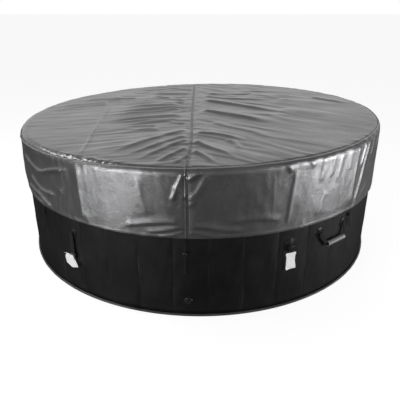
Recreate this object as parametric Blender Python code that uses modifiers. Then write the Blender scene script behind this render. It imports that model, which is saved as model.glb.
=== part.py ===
"""Round inflatable hot tub: inflated wall, floor, buckled lid, hose ports and a fitted weather cover.

Metres, +Z up. The origin is the centre of the base's underside. Angles on the wall are in degrees,
0 at the front (-Y) and growing towards +X.
"""
import math

import bmesh
import bpy
from mathutils import Matrix, Vector

# Driving dimensions
R_WALL = 0.972            # outside of the inflated wall
R_BASIN = 0.722           # inside of the inflated wall
WALL_TOP = 0.620          # top of the inflated wall
CHAMBERS = 40             # air chambers round the wall, one weld seam between each pair
SKIN = 0.0015             # thickness of every PVC sheet
GAP = 0.0004              # clearance kept between neighbouring pieces
R_COVER = 0.980           # outside of the cover's skirt
COVER_TOP = 0.690         # top of the cover on the axis
LEAN = 0.0188             # the lid and the cover rise to the right by this much a metre
LEVEL = 0.640             # below this height the cover's skirt loses that lean, down to a level hem
COVER_CORNER = 0.030      # radius over the lid's edge
HEM = 0.388               # lower edge of the cover's skirt
LID_HEM = 0.590           # lower edge of the lid's skirt
COVER_SEAM_X = -0.044     # the seam that runs front to back over the cover

RING_STEPS = 2 * CHAMBERS
SMALL_STEPS = 16
SEAM_ANGLE = 2.2          # first weld seam of the wall

BUCKLE_FIRST = 23.6       # six buckles, one every 60 degrees
BUCKLES = 6
BUCKLE_Z = 0.316
BUCKLE_STANDOFF = 0.0055
PATCH_R = 0.0265
STRAP_LENGTHS = (0.006, 0.045, 0.045, 0.045, 0.045, 0.105)
STRAP_WIDTH = 0.022
SOCKET = (0.034, 0.032, 0.0095)

HANDLE_ANGLES = (38.1, 218.1)
HANDLE_Z = 0.331
HANDLE_HALF_ANGLE = 5.0
HANDLE_R = 0.9770
GRIP_OUT = 0.0105
HANDLE_DROP = 0.064
GRIP_FROM, GRIP_TO = -0.043, 0.075
GRIP_R, GRIP_BORE = 0.0125, 0.0088

DRAIN = (-3.0, 0.074)
AIR_VALVE = (156.0, 0.240)
PORTS = {"water_inlet": (172.0, 0.120), "water_outlet": (188.0, 0.120), "air_port": (180.0, 0.290)}

CORD_D = 0.004
CORD_R = 0.9795           # how far from the axis the cords leave the hem
TAIL_ANGLE = -3.8
TAIL_END = 0.221
LOCK_Z = 0.3185
LOCK_R = 0.984            # how far from the axis the straight tail hangs
TIES = {1: (45.3, 0.102, 1.4), 2: (135.0, 0.120, 1.0), 3: (-135.0, 0.120, -1.0), 4: (-49.5, 0.148, -1.6)}

BLACK_PVC = (0.018, 0.018, 0.020)
DARK_PVC = (0.030, 0.030, 0.033)
GREY_CLOTH = (0.300, 0.300, 0.315)
WHITE_TAG = (0.900, 0.900, 0.900)


def start():
    """An empty scene, with one collection for the tub and one for its cutters."""
    for thing in list(bpy.data.objects):
        bpy.data.objects.remove(thing, do_unlink=True)
    made = []
    for name in ("inflatable_hot_tub", "cutters"):
        collection = bpy.data.collections.new(name)
        bpy.context.scene.collection.children.link(collection)
        made.append(collection)
    return made


TUB, CUTTERS = start()


def material(name, color, roughness, metallic=0.0):
    found = bpy.data.materials.get(name)
    if found:
        return found
    made = bpy.data.materials.new(name)
    made.use_nodes = True
    shader = made.node_tree.nodes["Principled BSDF"]
    shader.inputs["Base Color"].default_value = (*color, 1.0)
    shader.inputs["Roughness"].default_value = roughness
    shader.inputs["Metallic"].default_value = metallic
    made.diffuse_color = (*color, 1.0)
    return made


def wall_pvc():
    return material("wall_pvc", BLACK_PVC, 0.50)


def liner_pvc():
    return material("liner_pvc", DARK_PVC, 0.45)


def moulded_black():
    return material("moulded_black", BLACK_PVC, 0.35)


def webbing():
    return material("webbing", BLACK_PVC, 0.85)


def cover_cloth():
    return material("cover_cloth", GREY_CLOTH, 0.38)


def add(name, mesh, look, place=None, collection=None):
    """A new object, shaded smooth with its real edges kept."""
    piece = bpy.data.objects.new(name, mesh)
    (collection or TUB).objects.link(piece)
    if place is not None:
        piece.matrix_world = place
    if look is not None:
        mesh.materials.append(look)
    return piece


def lean(piece):
    """Bakes a turned piece and slopes it as the lid slopes."""
    evaluated = piece.evaluated_get(bpy.context.evaluated_depsgraph_get())
    mesh = bpy.data.meshes.new_from_object(evaluated)
    slope = Matrix.Identity(4)
    slope[2][0] = LEAN
    mesh.transform(slope)
    piece.modifiers.clear()
    piece.data = mesh


def from_bmesh(name, shape, look, place=None, collection=None):
    mesh = bpy.data.meshes.new(name)
    bmesh.ops.recalc_face_normals(shape, faces=shape.faces)
    shape.to_mesh(mesh)
    shape.free()
    mesh.shade_smooth()
    mesh.set_sharp_from_angle(angle=math.radians(35))
    return add(name, mesh, look, place, collection)


def on_wall(angle, z, r=R_WALL):
    """A frame on the wall: X along the wall, Y up, Z straight out."""
    a = math.radians(angle)
    along = Vector((math.cos(a), math.sin(a), 0))
    out = Vector((math.sin(a), -math.cos(a), 0))
    frame = Matrix((along, Vector((0, 0, 1)), out)).transposed().to_4x4()
    frame.translation = out * r + Vector((0, 0, z))
    return frame


def screw(piece, steps):
    turn = piece.modifiers.new("turn", "SCREW")
    turn.axis = "Z"
    turn.steps = turn.render_steps = steps
    turn.use_merge_vertices = True
    turn.merge_threshold = 0.00005
    turn.use_smooth_shade = True


def thicken(piece, thickness, offset=-1):
    shell = piece.modifiers.new("sheet", "SOLIDIFY")
    shell.thickness = thickness
    shell.offset = offset
    shell.use_even_offset = True


def profile_mesh(name, outline, closed):
    """The edges of a profile in the XZ plane. Its outer side runs from top to bottom."""
    mesh = bpy.data.meshes.new(name)
    edges = [(i, i + 1) for i in range(len(outline) - 1)]
    if closed:
        edges.append((len(outline) - 1, 0))
    mesh.from_pydata([(r, 0, z) for r, z in outline], edges, [])
    return mesh


def turned(name, outline, look, steps=RING_STEPS, closed=False, place=None):
    """A solid of revolution: a closed ring, or a profile that starts and ends on the axis."""
    piece = add(name, profile_mesh(name, outline, closed), look, place)
    screw(piece, steps)
    return piece


def turned_sheet(name, outline, look, thickness=SKIN):
    """A sheet of revolution, thickened away from the side that its profile faces."""
    piece = turned(name, outline, look)
    thicken(piece, thickness)
    return piece


def arc(centre_r, centre_z, radius, start_deg, end_deg, points):
    """Points on an arc in the profile plane, 0 degrees outwards and 90 up."""
    found = []
    for i in range(points):
        a = math.radians(start_deg + (end_deg - start_deg) * i / (points - 1))
        found.append((centre_r + radius * math.cos(a), centre_z + radius * math.sin(a)))
    return found


def box(name, low, high, look=None, place=None, collection=None, bevel=0.0):
    shape = bmesh.new()
    bmesh.ops.create_cube(shape, size=1.0)
    for corner in shape.verts:
        corner.co = [low[i] if corner.co[i] < 0 else high[i] for i in range(3)]
    piece = from_bmesh(name, shape, look, place, collection)
    if bevel:
        edge = piece.modifiers.new("edges", "BEVEL")
        edge.width = bevel
        edge.segments = 1
    return piece


def disc(name, radius, low, high, look, place, steps=SMALL_STEPS, rim=0.0):
    """A round plate from low to high along its frame's Z, with a rounded outer rim."""
    outline = [(0, high), (radius - rim, high), (radius, high - rim), (radius, low), (0, low)]
    if not rim:
        outline.pop(2)
    return turned(name, outline, look, steps, place=place)


def boolean(piece, cutter, how="DIFFERENCE"):
    cut = piece.modifiers.new(cutter.name, "BOOLEAN")
    cut.object = cutter
    cut.operation = how
    cut.solver = "EXACT"
    cutter.hide_render = True
    cutter.display_type = "WIRE"


def cutter_cylinder(name, radius, low, high, place, along="Z"):
    shape = bmesh.new()
    bmesh.ops.create_cone(
        shape, segments=SMALL_STEPS, radius1=radius, radius2=radius, depth=high - low, cap_ends=True
    )
    bmesh.ops.translate(shape, verts=shape.verts, vec=(0, 0, (high + low) / 2))
    turn = {"X": Matrix.Rotation(math.pi / 2, 4, "Y"), "Y": Matrix.Rotation(-math.pi / 2, 4, "X")}
    if along in turn:
        bmesh.ops.transform(shape, matrix=turn[along], verts=shape.verts)
    return from_bmesh(name, shape, None, place, CUTTERS)


# The inflated tub

def base_sheet():
    """The floor-side sheet, with the welded flange that runs round its edge."""
    flange = R_COVER
    outline = [(0, 0.002), (flange - 0.012, 0.002), (flange - 0.009, 0.006), (flange - 0.004, 0.0075)]
    outline += [(flange, 0.0055), (flange, 0.0), (0, 0.0)]
    turned("base_sheet", outline, wall_pvc())


def tub_floor():
    r = R_BASIN - 0.003
    turned("tub_floor", [(0, 0.0065), (r, 0.0065), (r, 0.0024), (0, 0.0024)], liner_pvc())


def air_jet_ring():
    """The perforated air channel welded to the floor round the foot of the wall."""
    half, height, z = 0.018, 0.020, 0.0069
    middle = R_BASIN - 0.026
    outline = [(middle + half * math.cos(math.radians(a)), z + height * math.sin(math.radians(a)))
               for a in (150, 115, 90, 65, 30)]
    outline += [(middle + half, z), (middle - half, z)]
    turned("air_jet_ring", outline, liner_pvc(), steps=CHAMBERS, closed=True)


def wall_skins():
    corner = 0.05
    foot = 0.0085
    outline = arc(R_WALL - corner, WALL_TOP - corner, corner, 62, 0, 3)
    outline += [(R_WALL, 0.022), (R_WALL - 0.004, foot)]
    turned_sheet("wall_outer_skin", outline, wall_pvc())
    outline = [(R_BASIN + 0.004, foot), (R_BASIN, 0.022)]
    outline += arc(R_BASIN + corner, WALL_TOP - corner, corner, 180, 118, 3)
    turned_sheet("wall_inner_skin", outline, liner_pvc())
    lap = corner * math.sin(math.radians(62))
    low = WALL_TOP - corner + lap
    inner = R_BASIN + corner - corner * math.cos(math.radians(62))
    outer = R_WALL - corner + corner * math.cos(math.radians(62))
    crown = [(inner - GAP, low + 0.0006), (inner + 0.03, WALL_TOP), (outer - 0.03, WALL_TOP)]
    crown += [(outer + GAP, low + 0.0006)]
    ring = [(r, z + SKIN) for r, z in crown] + [(r, z + GAP) for r, z in reversed(crown)]
    turned("wall_top_sheet", ring, liner_pvc(), closed=True)


def i_beam_webs():
    """One pleated band that ties the outer skin to the inner skin between every two chambers."""
    inner, outer = R_BASIN + 0.010, R_WALL - 0.006
    low, high = 0.026, WALL_TOP - 0.054
    shape = bmesh.new()
    lower, upper = [], []
    for k in range(CHAMBERS):
        a = math.radians(SEAM_ANGLE + 360 / CHAMBERS * k)
        for r in (inner, outer) if k % 2 else (outer, inner):
            lower.append(shape.verts.new((r * math.sin(a), -r * math.cos(a), low)))
            upper.append(shape.verts.new((r * math.sin(a), -r * math.cos(a), high)))
    for i in range(len(lower)):
        j = (i + 1) % len(lower)
        shape.faces.new((lower[i], lower[j], upper[j], upper[i]))
    piece = from_bmesh("i_beam_webs", shape, liner_pvc())
    thicken(piece, 0.001, offset=0)


# Valves and ports

def wall_fitting(name, angle, z, flange_r, boss_r, boss_h):
    place = on_wall(angle, z)
    face = 0.0004
    outline = [(0, face + 0.003 + boss_h), (boss_r, face + 0.003 + boss_h), (boss_r, face + 0.003)]
    outline += [(flange_r - 0.001, face + 0.003), (flange_r, face + 0.0015), (flange_r, face), (0, face)]
    turned(name, outline, moulded_black(), SMALL_STEPS, place=place)


def screw_cap(name, angle, z, boss_r, boss_h, wall=0.003):
    """A cup that screws on over its boss, with a bar to grip. It turns on its own axis."""
    place = on_wall(angle, z)
    low = 0.0004 + 0.003 + GAP
    high = low + boss_h + wall
    inner, outer = boss_r * 1.022 + 0.0004, boss_r * 1.022 + wall
    outline = [(0, high), (outer - 0.0015, high), (outer, high - 0.0015), (outer, low), (inner, low)]
    outline += [(inner, high - wall + GAP), (0, high - wall + GAP)]
    cap = turned(name, outline, moulded_black(), SMALL_STEPS, place=place)
    half, thick = outer * 0.8, wall * 0.6
    bar = box(name + "_bar", (-half, -thick, high - 0.001), (half, thick, high + wall),
              place=place, collection=CUTTERS)
    boolean(cap, bar, "UNION")


def valves_and_ports():
    wall_fitting("drain_valve_body", *DRAIN, flange_r=0.019, boss_r=0.0075, boss_h=0.006)
    screw_cap("drain_valve_cap", *DRAIN, boss_r=0.0075, boss_h=0.006)
    wall_fitting("air_valve_body", *AIR_VALVE, flange_r=0.034, boss_r=0.018, boss_h=0.010)
    screw_cap("air_valve_cap", *AIR_VALVE, boss_r=0.018, boss_h=0.010)
    for name, (angle, z) in PORTS.items():
        wall_fitting(name + "_body", angle, z, flange_r=0.050, boss_r=0.030, boss_h=0.018)
        screw_cap(name + "_cap", angle, z, boss_r=0.030, boss_h=0.018, wall=0.004)


# Wall buckles, lid clips and tags

def buckle_angle(k):
    return BUCKLE_FIRST + 360 / BUCKLES * k


def wall_buckle(k):
    """A short webbing strap with a buckle socket at its end, hinged at its wall patch."""
    angle = buckle_angle(k)
    disc(f"buckle_patch_{k + 1}", PATCH_R, 0.0004, 0.0024, wall_pvc(), on_wall(angle, BUCKLE_Z), rim=0.001)
    hinge = on_wall(angle, BUCKLE_Z, R_WALL + BUCKLE_STANDOFF)
    long = STRAP_LENGTHS[k]
    width, tall, thick = SOCKET
    low = -0.0025
    middle = low + thick / 2
    piece = box(f"wall_buckle_{k + 1}", (-width / 2, -long - tall, low), (width / 2, -long, low + thick),
                moulded_black(), hinge)
    slot = box(f"slot_{k + 1}", (-0.0125, -long - tall - 0.01, middle - 0.0032),
               (0.0125, -long - tall + 0.021, middle + 0.0032), place=hinge, collection=CUTTERS)
    boolean(piece, slot)
    half = STRAP_WIDTH / 2
    strap = box(f"strap_{k + 1}", (-half, -long - 0.004, -0.0008), (half, 0.0015, 0.0008),
                place=hinge, collection=CUTTERS)
    boolean(piece, strap, "UNION")


def lid_clip(k):
    """A strap with a flat plug that hangs from the lid's skirt, under the cover."""
    angle = buckle_angle(k)
    frame = on_wall(angle, LID_HEM - 0.001 + LEAN * R_WALL * math.sin(math.radians(angle)))
    low, high = 0.0010, 0.0040
    shape = bmesh.new()
    half, plug, top, neck, end = 0.011, 0.0115, 0.0, -0.101, -0.135
    outline = [(-half, top), (half, top), (half, neck), (plug, neck), (plug, end + 0.01), (0.006, end)]
    outline += [(-0.006, end), (-plug, end + 0.01), (-plug, neck), (-half, neck)]
    face = shape.faces.new([shape.verts.new((x, y, low)) for x, y in reversed(outline)])
    made = bmesh.ops.extrude_face_region(shape, geom=[face])
    raised = [v for v in made["geom"] if isinstance(v, bmesh.types.BMVert)]
    bmesh.ops.translate(shape, verts=raised, vec=(0, 0, high - low))
    from_bmesh(f"lid_clip_{k + 1}", shape, webbing(), frame)


def tag(name, k, hinge_y, out, width, length):
    """A blank care tag that hangs from its buckle."""
    frame = on_wall(buckle_angle(k), BUCKLE_Z, R_WALL + BUCKLE_STANDOFF)
    place = frame @ Matrix.Translation((0, hinge_y, out))
    box(name, (-width / 2, -length, -0.0006), (width / 2, 0, 0.0006),
        material("tag_paper", WHITE_TAG, 0.6), place)


def tags():
    tag("tag_right", 0, -0.0400, 0.0020, 0.049, 0.081)
    tag("tag_left", 5, -0.1120, 0.0085, 0.058, 0.076)


# Carry handles

def handle(k):
    """Two welded patches, a webbing strap that hinges between them, and a tube grip on the strap."""
    angle = HANDLE_ANGLES[k]
    for side, word in ((-1, "left"), (1, "right")):
        disc(f"handle_patch_{k + 1}_{word}", 0.024, 0.0004, 0.0024, wall_pvc(),
             on_wall(angle + side * HANDLE_HALF_ANGLE, HANDLE_Z), rim=0.001)
    frame = on_wall(angle, HANDLE_Z, HANDLE_R)
    reach = R_WALL * math.sin(math.radians(HANDLE_HALF_ANGLE))
    corners = (GRIP_FROM - 0.006, GRIP_TO + 0.0105)
    route = [(-reach, 0.0, 0.0), (-reach + 0.012, -0.030, 0.006), (corners[0], -HANDLE_DROP, GRIP_OUT)]
    route += [(corners[1], -HANDLE_DROP, GRIP_OUT), (reach + 0.001, -0.030, 0.006), (reach, 0.0, 0.0)]
    half, thick = 0.008, 0.0015
    shape = bmesh.new()
    rings = []
    for i, here in enumerate(route):
        before, after = route[max(i - 1, 0)], route[min(i + 1, len(route) - 1)]
        d1 = (Vector(here) - Vector(before)).xy if i else (Vector(after) - Vector(here)).xy
        d2 = (Vector(after) - Vector(here)).xy if i < len(route) - 1 else d1
        side = (d1.normalized() + d2.normalized()).normalized().orthogonal()
        wide = half / max(0.5, side.dot(d1.normalized().orthogonal()))
        ring = [(s * wide, t * thick) for s, t in ((-1, -1), (1, -1), (1, 1), (-1, 1))]
        spots = [(here[0] + w * side.x, here[1] + w * side.y, here[2] + t) for w, t in ring]
        rings.append([shape.verts.new(spot) for spot in spots])
    for a, b in zip(rings, rings[1:]):
        for i in range(4):
            shape.faces.new((a[i], a[(i + 1) % 4], b[(i + 1) % 4], b[i]))
    shape.faces.new(rings[0])
    shape.faces.new(rings[-1])
    from_bmesh(f"handle_strap_{k + 1}", shape, webbing(), frame)
    outline = [(GRIP_BORE, GRIP_TO), (GRIP_R - 0.001, GRIP_TO), (GRIP_R, GRIP_TO - 0.001)]
    outline += [(GRIP_R, GRIP_FROM + 0.001), (GRIP_R - 0.001, GRIP_FROM), (GRIP_BORE, GRIP_FROM)]
    lie = Matrix.Translation((0, -HANDLE_DROP, GRIP_OUT)) @ Matrix.Rotation(math.pi / 2, 4, "Y")
    turned(f"handle_grip_{k + 1}", outline, moulded_black(), 16, closed=True, place=frame @ lie)


# Lid

def lid():
    top = COVER_TOP - 0.007
    outline = [(0, top), (0.950, top), (0.9680, top - 0.006)]
    lean(turned_sheet("lid_top_sheet", outline, liner_pvc()))
    outline = [(0.9710, top - 0.0095), (0.9755, top - 0.017), (0.9755, LID_HEM)]
    lean(turned_sheet("lid_skirt", outline, liner_pvc()))
    valve, edge, low, high = 0.012, 0.950, WALL_TOP + SKIN + 0.019, top - 0.0022
    middle = (low + high) / 2
    outline = [(valve, high), (edge - 0.02, high), (edge, middle + 0.008), (edge, middle - 0.008)]
    outline += [(edge - 0.02, low), (valve, low)]
    lean(turned_sheet("lid_bladder", outline, liner_pvc()))


# Weather cover

def seam_drop(angle):
    """How far the piped seam lies below the top: least on the right, most on the left."""
    least, most, start, lowest, back = 0.004, 0.028, 10, -70, -110
    if angle > lowest:
        share = (min(max(start - angle, 0), start - lowest) / (start - lowest)) ** 2
    else:
        share = 0.5 - 0.5 * math.cos(math.pi * min((angle + 180) / (back + 180), 1))
    return least + (most - least) * share


def cover_point(along):
    """The cover's section at distance along from the axis, over the top and down the skirt."""
    flat = R_COVER - COVER_CORNER
    bend = COVER_CORNER * math.pi / 2
    if along <= flat:
        return along, COVER_TOP
    if along <= flat + bend:
        a = (along - flat) / COVER_CORNER
        return flat + COVER_CORNER * math.sin(a), COVER_TOP - COVER_CORNER * (1 - math.cos(a))
    return R_COVER, COVER_TOP - COVER_CORNER - (along - flat - bend)


def leaning(r, z, angle):
    """A point of the section at an angle round the cover, sloped as the lid slopes."""
    a = math.radians(angle)
    share = min(max((z - HEM) / (LEVEL - HEM), 0), 1)
    return r * math.sin(a), -r * math.cos(a), z + LEAN * r * math.sin(a) * share


def seam_along(angle):
    return R_COVER - COVER_CORNER + COVER_CORNER * math.acos(1 - seam_drop(angle) / COVER_CORNER)


def ring_angles():
    return [360 / RING_STEPS * k - 180 for k in range(RING_STEPS)]


def cover_sheet(name, rows_at, pole):
    """A ring of sheet over every angle, from rows_at(angle), with a pole at the middle if asked."""
    shape = bmesh.new()
    columns = []
    for angle in ring_angles():
        column = [leaning(*cover_point(s), angle) for s in rows_at(angle)]
        columns.append([shape.verts.new(point) for point in column])
    centre = shape.verts.new((0, 0, COVER_TOP)) if pole else None
    for i, here in enumerate(columns):
        there = columns[(i + 1) % len(columns)]
        if pole:
            shape.faces.new((centre, here[0], there[0]))
        for j in range(len(here) - 1):
            shape.faces.new((here[j], here[j + 1], there[j + 1], there[j]))
    piece = from_bmesh(name, shape, cover_cloth())
    if not outward(piece.data):
        piece.data.flip_normals()
    thicken(piece, SKIN)
    return piece


def outward(mesh):
    face = max(mesh.polygons, key=lambda f: abs(f.normal.z) + f.center.xy.length)
    return face.normal.dot(Vector((face.center.x, face.center.y, 0.5))) > 0


def halves(rows_at, pole, kind):
    """The left and right panels of the cover, which meet at the seam over the middle."""
    far = 1.2
    sides = (("left", -far, COVER_SEAM_X - GAP), ("right", COVER_SEAM_X + GAP, far))
    for word, low, high in sides:
        piece = cover_sheet(f"cover_{kind}_{word}", rows_at, pole)
        keep = box(f"keep_{kind}_{word}", (low, -far, 0.2), (high, far, 1.0), collection=CUTTERS)
        boolean(piece, keep, "INTERSECT")


def cover():
    piping = 0.0022

    def top_rows(angle):
        end = seam_along(angle) - piping
        start = R_COVER - COVER_CORNER
        near = min(start, end - 0.004)
        rows = [near]
        for k, share in enumerate((0.4, 0.75, 1.0)):
            rows.append(min(start + COVER_CORNER * math.pi / 2 * share, near + (end - near) * (k + 1) / 4))
        return rows + [end]

    def skirt_rows(angle):
        start = seam_along(angle) + piping
        end = R_COVER - COVER_CORNER + COVER_CORNER * math.pi / 2 + COVER_TOP - COVER_CORNER - HEM
        corner = R_COVER - COVER_CORNER + COVER_CORNER * math.pi / 2
        bend = max(corner, start + 0.004)
        return [start, (start + bend) / 2, bend, end]

    halves(top_rows, True, "top")
    halves(skirt_rows, False, "skirt")
    ring = [leaning(*cover_point(seam_along(angle)), angle) for angle in ring_angles()]
    tube("cover_piping", ring, 0.0030, cover_cloth(), cyclic=True)


def tube(name, points, diameter, look, cyclic=False, place=None):
    data = bpy.data.curves.new(name, "CURVE")
    data.dimensions = "3D"
    data.bevel_depth = diameter / 2
    data.bevel_resolution = 0 if cyclic else 2
    data.use_fill_caps = not cyclic
    line = data.splines.new("POLY")
    line.points.add(len(points) - 1)
    for spot, point in zip(line.points, points):
        spot.co = (*point, 1.0)
    line.use_cyclic_u = cyclic
    data.materials.append(look)
    piece = bpy.data.objects.new(name, data)
    TUB.objects.link(piece)
    if place is not None:
        piece.matrix_world = place
    return piece


# Cords of the cover

def smooth(route, count):
    """count points on one smooth curve through the route's own points."""
    ends = [route[0]] + list(route) + [route[-1]]
    found = []
    for i in range(count):
        at = (len(route) - 1) * i / (count - 1)
        k = min(int(at), len(route) - 2)
        t = at - k
        p0, p1, p2, p3 = (Vector(p) for p in ends[k:k + 4])
        bend = 2 * p1 + (p2 - p0) * t + (2 * p0 - 5 * p1 + 4 * p2 - p3) * t ** 2
        found.append((bend + (3 * p1 - p0 - 3 * p2 + p3) * t ** 3) / 2)
    return found


def wall_route(points):
    """Row-frame points from (angle, radius, height)."""
    return [Vector((r * math.sin(math.radians(a)), -r * math.cos(math.radians(a)), z)) for a, r, z in points]


def drawcord():
    a, run = TAIL_ANGLE, LOCK_R
    route = [(a, CORD_R, HEM - GAP), (a, CORD_R, HEM - 0.008), (a, (CORD_R + run) / 2, HEM - 0.016)]
    route += [(a, run, z) for z in (HEM - 0.026, 0.340, 0.310, 0.280, 0.250, TAIL_END)]
    tube("drawcord_tail", smooth(wall_route(route), 20), CORD_D, webbing())
    frame = on_wall(a, LOCK_Z, run)
    barrel, half = 0.0072, 0.0085
    outline = [(0, half), (barrel - 0.001, half), (barrel, half - 0.001), (barrel, 0.001 - half)]
    outline += [(barrel - 0.001, -half), (0, -half)]
    lie = frame @ Matrix.Rotation(math.pi / 2, 4, "Y")
    body = turned("cord_lock_body", outline, moulded_black(), 16, place=lie)
    boolean(body, cutter_cylinder("lock_hole", CORD_D / 2 + 0.0008, -0.02, 0.02, frame, "Y"))
    boolean(body, cutter_cylinder("lock_bore", 0.0052, 0.0036, 0.012, frame, "X"))
    reach = [(0, 0.0125), (0.0040, 0.0125), (0.0048, 0.0117), (0.0048, 0.0068), (0, 0.0068)]
    turned("cord_lock_button", reach, moulded_black(), 16, place=lie)


def ties():
    for k, (angle, long, swing) in TIES.items():
        z = HEM - GAP
        route = [(angle, CORD_R, z), (angle, CORD_R, z - 0.15 * long)]
        route.append((angle + 0.15 * swing, CORD_R, z - 0.4 * long))
        route += [(angle + 0.5 * swing, CORD_R + 0.001, z - 0.7 * long), (angle + swing, CORD_R, z - long)]
        tube(f"tie_cord_{k}", smooth(wall_route(route), 13), CORD_D, webbing())


def build():
    base_sheet()
    tub_floor()
    air_jet_ring()
    wall_skins()
    i_beam_webs()
    valves_and_ports()
    for k in range(BUCKLES):
        wall_buckle(k)
        lid_clip(k)
    tags()
    for k in range(len(HANDLE_ANGLES)):
        handle(k)
    lid()
    cover()
    drawcord()
    ties()


build()
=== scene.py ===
"""Looks of a round inflatable hot tub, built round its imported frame.

Metres, +Z up. Angles round the tub are in degrees, 0 at the front (-Y) and growing towards +X.
"""
import math

import bmesh
import bpy
import numpy as np
from mathutils import Matrix, Vector, noise


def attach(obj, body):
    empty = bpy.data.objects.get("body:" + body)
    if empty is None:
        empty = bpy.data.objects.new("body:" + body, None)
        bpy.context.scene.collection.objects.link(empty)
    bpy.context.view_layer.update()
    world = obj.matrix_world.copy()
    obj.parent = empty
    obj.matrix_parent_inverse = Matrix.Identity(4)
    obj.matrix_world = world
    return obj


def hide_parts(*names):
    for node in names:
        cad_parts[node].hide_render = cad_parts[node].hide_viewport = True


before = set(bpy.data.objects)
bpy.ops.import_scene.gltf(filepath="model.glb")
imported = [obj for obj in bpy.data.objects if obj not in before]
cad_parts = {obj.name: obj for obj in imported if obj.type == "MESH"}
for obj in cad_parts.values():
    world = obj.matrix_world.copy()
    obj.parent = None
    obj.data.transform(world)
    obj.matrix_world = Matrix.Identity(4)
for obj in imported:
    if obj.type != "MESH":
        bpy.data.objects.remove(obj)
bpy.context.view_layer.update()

# Sizes that the frame's pieces were built to
R_WALL, R_BASIN, WALL_TOP, CHAMBERS, SEAM_ANGLE = 0.972, 0.722, 0.620, 40, 2.2
WALL_CORNER, TURN_OVER = 0.05, 62
R_COVER, COVER_TOP, CORNER, HEM = 0.980, 0.690, 0.030, 0.388
LEAN, LEVEL = 0.0188, 0.640
LID_HEM = 0.590
BUCKLE_FIRST, BUCKLES, BUCKLE_Z, BUCKLE_STANDOFF = 23.6, 6, 0.316, 0.0055
STRAP_LENGTHS = (0.006, 0.045, 0.045, 0.045, 0.045, 0.105)
SOCKET = (0.034, 0.032, 0.0095)
HANDLE_ANGLES, HANDLE_Z, HANDLE_HALF_ANGLE, HANDLE_R = (38.1, 218.1), 0.331, 5.0, 0.977
GRIP_OUT, HANDLE_DROP, GRIP_FROM, GRIP_TO, GRIP_R = 0.0105, 0.064, -0.043, 0.075, 0.0125
DRAIN, AIR_VALVE = (-3.0, 0.074), (156.0, 0.240)
PORTS = {"water_inlet": (172.0, 0.120), "water_outlet": (188.0, 0.120), "air_port": (180.0, 0.290)}
CORD_D, CORD_R, GAP = 0.004, 0.9795, 0.0004
TAIL_ANGLE, TAIL_END, LOCK_Z, LOCK_R = -3.8, 0.221, 0.3185, 0.984
TIES = {1: (45.3, 0.102, 1.4), 2: (135.0, 0.120, 1.0), 3: (-135.0, 0.120, -1.0), 4: (-49.5, 0.148, -1.6)}

FLAT = R_COVER - CORNER
BEND = CORNER * math.pi / 2
SKIRT_END = FLAT + BEND + COVER_TOP - CORNER - HEM
CASING, CASING_OUT = 0.015, 0.0004


# Camera

def linked(name, data):
    """A new object, put in the scene."""
    made = bpy.data.objects.new(name, data)
    bpy.context.scene.collection.objects.link(made)
    return made


def camera():
    height, back, pitch = 1.2599, 2.5764, 23.68
    data = bpy.data.cameras.new("camera")
    data.lens = 40.28
    data.sensor_width = 36.0
    data.clip_start, data.clip_end = 0.05, 60.0
    seen = linked("camera", data)
    seen.location = (0.0, -back, height)
    seen.rotation_euler = (math.radians(90.0 - pitch), 0.0, 0.0)
    bpy.context.scene.camera = seen


camera()


# Small tools

def on_wall(angle, z, r=R_WALL):
    """A frame on the wall: X along the wall, Y up, Z straight out."""
    a = math.radians(angle)
    along = Vector((math.cos(a), math.sin(a), 0))
    out = Vector((math.sin(a), -math.cos(a), 0))
    place = Matrix((along, Vector((0, 0, 1)), out)).transposed().to_4x4()
    place.translation = out * r + Vector((0, 0, z))
    return place


def round_the_wall(angle, r, z):
    a = math.radians(angle)
    return Vector((r * math.sin(a), -r * math.cos(a), z))


def turned(a, r, z):
    """Points round the tub at angles in radians, with their radii and heights."""
    return np.stack([r * np.sin(a), -r * np.cos(a), z + 0 * a], 1)


def smooth(route, count):
    """count points on one smooth curve through the route's own points."""
    ends = [route[0]] + list(route) + [route[-1]]
    found = []
    for i in range(count):
        at = (len(route) - 1) * i / (count - 1)
        k = min(int(at), len(route) - 2)
        t = at - k
        p0, p1, p2, p3 = (Vector(p) for p in ends[k:k + 4])
        bend = 2 * p1 + (p2 - p0) * t + (2 * p0 - 5 * p1 + 4 * p2 - p3) * t ** 2
        found.append((bend + (3 * p1 - p0 - 3 * p2 + p3) * t ** 3) / 2)
    return found


def new_object(name, data, body, look, replaced=()):
    piece = linked(name, data)
    data.materials.append(look[0])
    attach(piece, body)
    if replaced:
        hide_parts(*replaced)
    return piece


def piece_from(name, verts, faces, body, look, replaced=(), place=None, uv=None, sharp=40):
    """One mesh piece that rides on a body. uv gives a point for every vertex."""
    mesh = bpy.data.meshes.new(name)
    mesh.from_pydata([tuple(v) for v in verts], [], [tuple(f) for f in faces])
    if uv is not None:
        layer = mesh.uv_layers.new(name="UVMap")
        index = np.zeros(len(mesh.loops), np.int32)
        mesh.loops.foreach_get("vertex_index", index)
        layer.data.foreach_set("uv", np.asarray(uv, np.float32)[index].ravel())
    if place is not None:
        mesh.transform(place)
    mesh.shade_smooth()
    if sharp:
        mesh.set_sharp_from_angle(angle=math.radians(sharp))
    return new_object(name, mesh, body, look, replaced)


def grid_faces(rows, columns, wrap=False, first=0):
    """Quads over rows x columns points that are numbered row by row."""
    r = np.arange(rows - 1)[:, None]
    c = np.arange(columns if wrap else columns - 1)[None, :]
    d = (c + 1) % columns
    low, high = r * columns, (r + 1) * columns
    quads = np.stack([low + c, high + c, high + d, low + d], -1)
    return (quads.reshape(-1, 4) + first).tolist()


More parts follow.
